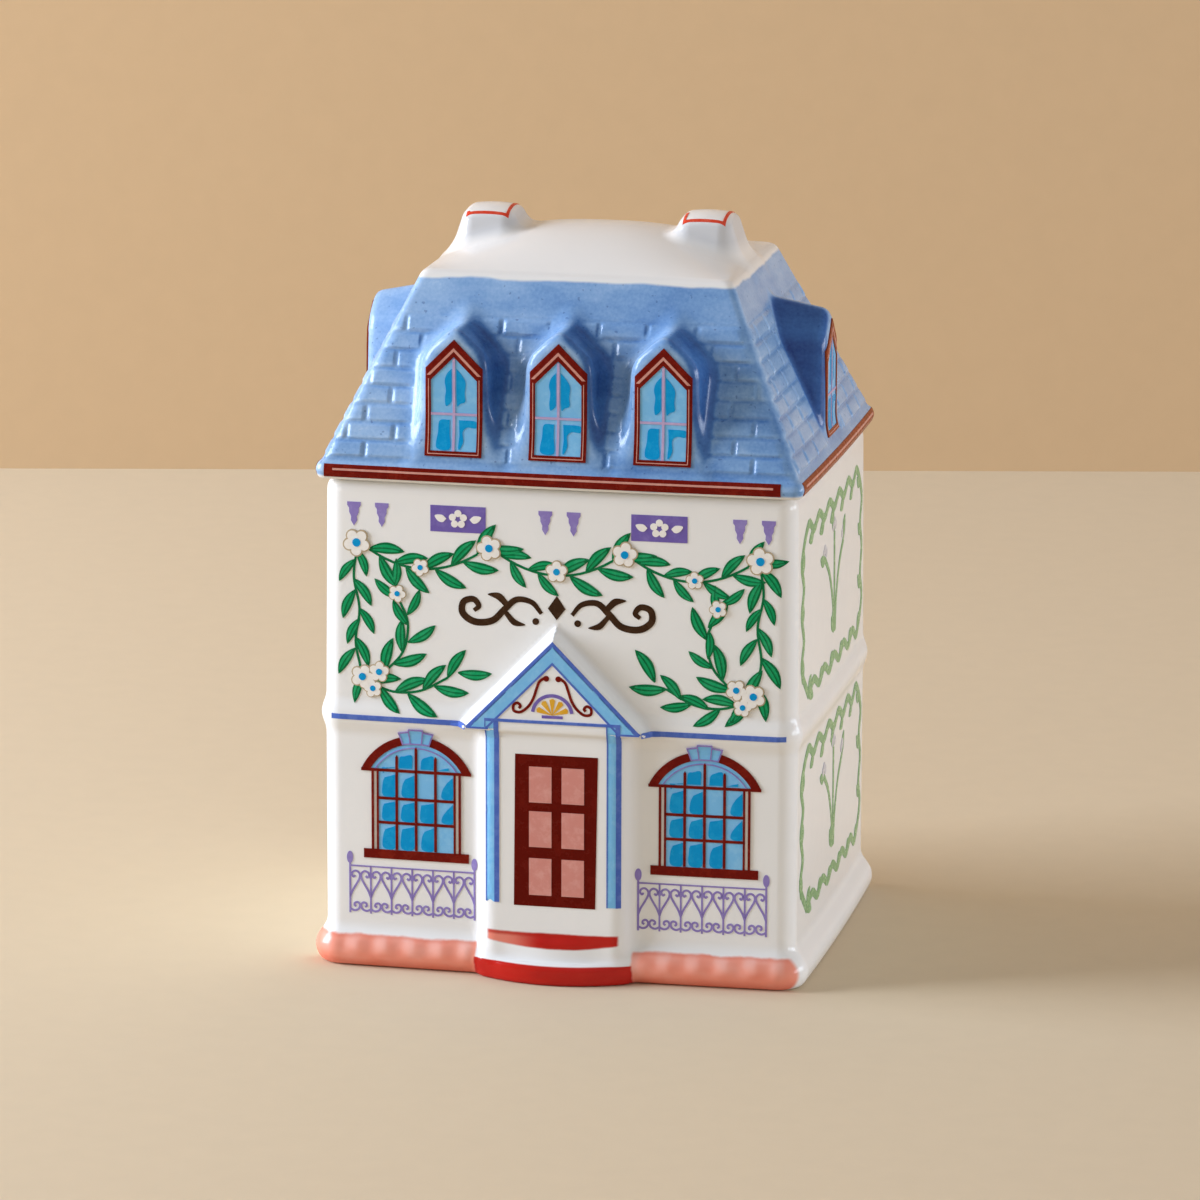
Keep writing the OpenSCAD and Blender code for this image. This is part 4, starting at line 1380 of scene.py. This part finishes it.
def leaf_shapes(length, width, bend):
    """One leaf that points along +X from the origin: its whole outline, its paler blade and its vein."""
    spine = [(length * t, bend * math.sin(math.pi * t * 0.9)) for t in (0, 0.12, 0.3, 0.5, 0.7, 0.88, 1.0)]
    swell = (0.12, 0.5, 0.86, 1.0, 0.84, 0.45, 0.0)

    def outline(share, start, end):
        rows = list(zip(spine, swell))[start:end]
        upper = [(u, v + 0.5 * width * s * share) for (u, v), s in rows]
        lower = [(u, v - 0.5 * width * s * share) for (u, v), s in rows]
        return curved(upper, 3) + curved(lower[::-1], 3)[1:]
    return outline(1.0, 0, 7), outline(0.62, 1, 6), curved(spine[1:6], 3)


def turned(path, angle, start=(0.0, 0.0)):
    """A path turned by an angle in degrees and shifted."""
    c, s = math.cos(math.radians(angle)), math.sin(math.radians(angle))
    return [(start[0] + c * u - s * v, start[1] + s * u + c * v) for u, v in path]


class SPICEJAR_OT_festoon(bpy.types.Operator):
    """Paints a laurel festoon with small blossoms on the upper storey"""
    bl_idname = "spice_jar.festoon"
    bl_label = "Laurel Festoon"

    def execute(self, context):
        swags = []
        for left, right in ((-25.0, -8.4), (-8.4, 8.4), (8.4, 25.0)):
            share = np.linspace(0.09, 0.91, 15)
            swags.append([(left + (right - left) * t, 53.6 - 3.2 * 4 * t * (1 - t)) for t in share])
        for flip in (False, True):
            drop = curved([(25.0, 52.4), (25.4, 49.0), (24.7, 45.0), (25.2, 41.0), (24.6, 37.8)])
            spray = curved([(23.6, 36.0), (20.5, 34.9), (17.0, 35.2), (13.6, 37.0)])
            rise = curved([(21.6, 37.2), (19.2, 40.0), (18.6, 43.6), (19.8, 46.6)])
            swags += [moved(path, flip=flip) for path in (drop, spray, rise)]
        stems = Drawing()
        for path in swags:
            stems.stroke(path, 0.3)
        dark, light = Drawing(), Drawing()
        parts = leaf_shapes(4.3, 1.35, 0.32)
        for angle, start, side in ((27, 0.0, 1), (-27, 1.5, -1)):
            whole, blade, vein = (
                turned([(u, side * v) for u, v in path], angle, (start, 0)) for path in parts)
            dark.shape(whole, lift=0.01)
            light.shape(blade, lift=0.05)
            dark.stroke(vein, 0.13, lift=0.09)
        green = along_paths(dark, swags, 3.3, 0.8, 1.08, "pine_enamel")
        green.add(stems.points, stems.faces)
        on_jar("festoon_stems", green, "pine_enamel")
        on_jar("festoon_blades", along_paths(light, swags, 3.3, 0.8, 1.08, "leaf_enamel"), "leaf_enamel")
        rims, petals, hearts = Drawing(), Drawing(), Drawing()
        places = [(0.0, 50.9, 1.0)]
        for side in (-1, 1):
            places += [(side * u, v, size) for u, v, size in (
                (8.4, 53.4, 1.15), (25.0, 53.3, 1.25), (24.3, 36.6, 1.1), (22.2, 37.3, 0.95),
                (23.0, 35.2, 0.85), (17.0, 50.6, 0.8), (19.9, 47.2, 0.8))]
        for index, (u, v, size) in enumerate(places):
            for petal in range(5):
                turn = math.radians(90 + 72 * petal + 17 * index)
                spot = (u + 0.78 * size * math.cos(turn), v + 0.78 * size * math.sin(turn))
                rims.disc(spot, 0.66 * size, lift=0.13, sides=14)
                petals.disc(spot, 0.52 * size, lift=0.17, sides=14)
            hearts.disc((u, v), 0.42 * size, lift=0.22, sides=14)
        on_jar("blossom_rims", rims, "sand_enamel")
        on_jar("blossom_petals", petals, "ivory_enamel")
        on_jar("blossom_hearts", hearts, "azure_enamel")
        return {"FINISHED"}


def wavy_frame(half, low, high, pitch, sway):
    """A closed line round a panel, counter-clockwise, which sways in and out once in each pitch."""
    corners = [(-half, low), (half, low), (half, high), (-half, high), (-half, low)]
    line = []
    for (u, v), (next_u, next_v) in zip(corners, corners[1:]):
        along_u, along_v = next_u - u, next_v - v
        length = math.hypot(along_u, along_v)
        count = 2 * round(length / pitch)
        inward = (-along_v / length, along_u / length)
        for k in range(1, count):
            share, out = k / count, sway * (-1) ** k
            line.append((u + along_u * share + inward[0] * out, v + along_v * share + inward[1] * out))
    return curved(line + line[:1], 4)


class SPICEJAR_OT_vines(bpy.types.Operator):
    """Paints pale vine frames on the sides and the back"""
    bl_idname = "spice_jar.vines"
    bl_label = "Vine Frames"

    def execute(self, context):
        # Single leaves point inwards from the frame
        leaf = Drawing()
        whole, _, _ = leaf_shapes(3.4, 1.7, 0.3)
        leaf.shape(turned(whole, 26))
        for wall, half in (("right", 20.4), ("left", 20.4), ("back", 24.6)):
            drawn, dabs = Drawing(), Drawing()
            leafy = []
            for low, high in ((35.8, 55.8), (8.8, 27.8)):
                frame_line = wavy_frame(half, low, high, 6.4, 0.65)
                leafy.append(frame_line)
                drawn.stroke(frame_line, 1.1)
                # A spray of three leafy stems stands in the middle of the frame
                middle = 0.5 * (low + high)
                for lean in (-1, 0, 1):
                    stem = curved([(0.4 * lean, middle - 6.4), (1.1 * lean, middle - 2.5),
                                   (3.4 * lean, middle + 1.5), (6.4 * lean, middle + 6.2 - 2.2 * abs(lean))])
                    leafy.append(stem)
                    drawn.stroke(stem, 0.8)
                    tip_u, tip_v = stem[-1]
                    for k in (-1, 0, 1):
                        dabs.disc((tip_u + 0.75 * k, tip_v + 1.3 - 0.5 * abs(k)), 0.6, sides=12)
            sprigs = along_paths(leaf, leafy, 7.2, 0.8, 1.0, "sage_enamel", seed=8)
            sprigs.add(drawn.points, drawn.faces)
            on_jar("vine_frame_" + wall, sprigs, "sage_enamel", wall)
            on_jar("vine_buds_" + wall, dabs, "haze_enamel", wall)
        return {"FINISHED"}


OPERATORS = (
    SPICEJAR_OT_stage,
    SPICEJAR_OT_jar,
    SPICEJAR_OT_lid,
    SPICEJAR_OT_seal,
    SPICEJAR_OT_eaves,
    SPICEJAR_OT_dormer_windows,
    SPICEJAR_OT_chimney_rims,
    SPICEJAR_OT_windows,
    SPICEJAR_OT_railings,
    SPICEJAR_OT_porch,
    SPICEJAR_OT_tympanum,
    SPICEJAR_OT_frieze,
    SPICEJAR_OT_festoon,
    SPICEJAR_OT_vines,
)


class SPICEJAR_PT_panel(bpy.types.Panel):
    """Lists the pieces of the spice jar in the order that they are made"""
    bl_idname = "SPICEJAR_PT_panel"
    bl_label = "Porcelain Spice Jar"
    bl_space_type = "VIEW_3D"
    bl_region_type = "UI"
    bl_category = "Spice Jar"

    def draw(self, context):
        for group in (context.scene.spice_jar_shape, context.scene.spice_jar_stage):
            for name in group.bl_rna.properties.keys():
                if name not in ("rna_type", "name"):
                    self.layout.prop(group, name)
        for operator in OPERATORS:
            self.layout.operator(operator.bl_idname)


CLASSES = (SpiceJarShape, SpiceJarStage, *OPERATORS, SPICEJAR_PT_panel)


def register():
    for one in CLASSES:
        bpy.utils.register_class(one)
    bpy.types.Scene.spice_jar_shape = bpy.props.PointerProperty(type=SpiceJarShape)
    bpy.types.Scene.spice_jar_stage = bpy.props.PointerProperty(type=SpiceJarStage)


def unregister():
    del bpy.types.Scene.spice_jar_stage
    del bpy.types.Scene.spice_jar_shape
    for one in reversed(CLASSES):
        bpy.utils.unregister_class(one)


def main():
    register()
    for operator in OPERATORS:
        family, name = operator.bl_idname.split(".")
        getattr(getattr(bpy.ops, family), name)()


if __name__ == "__main__":
    main()
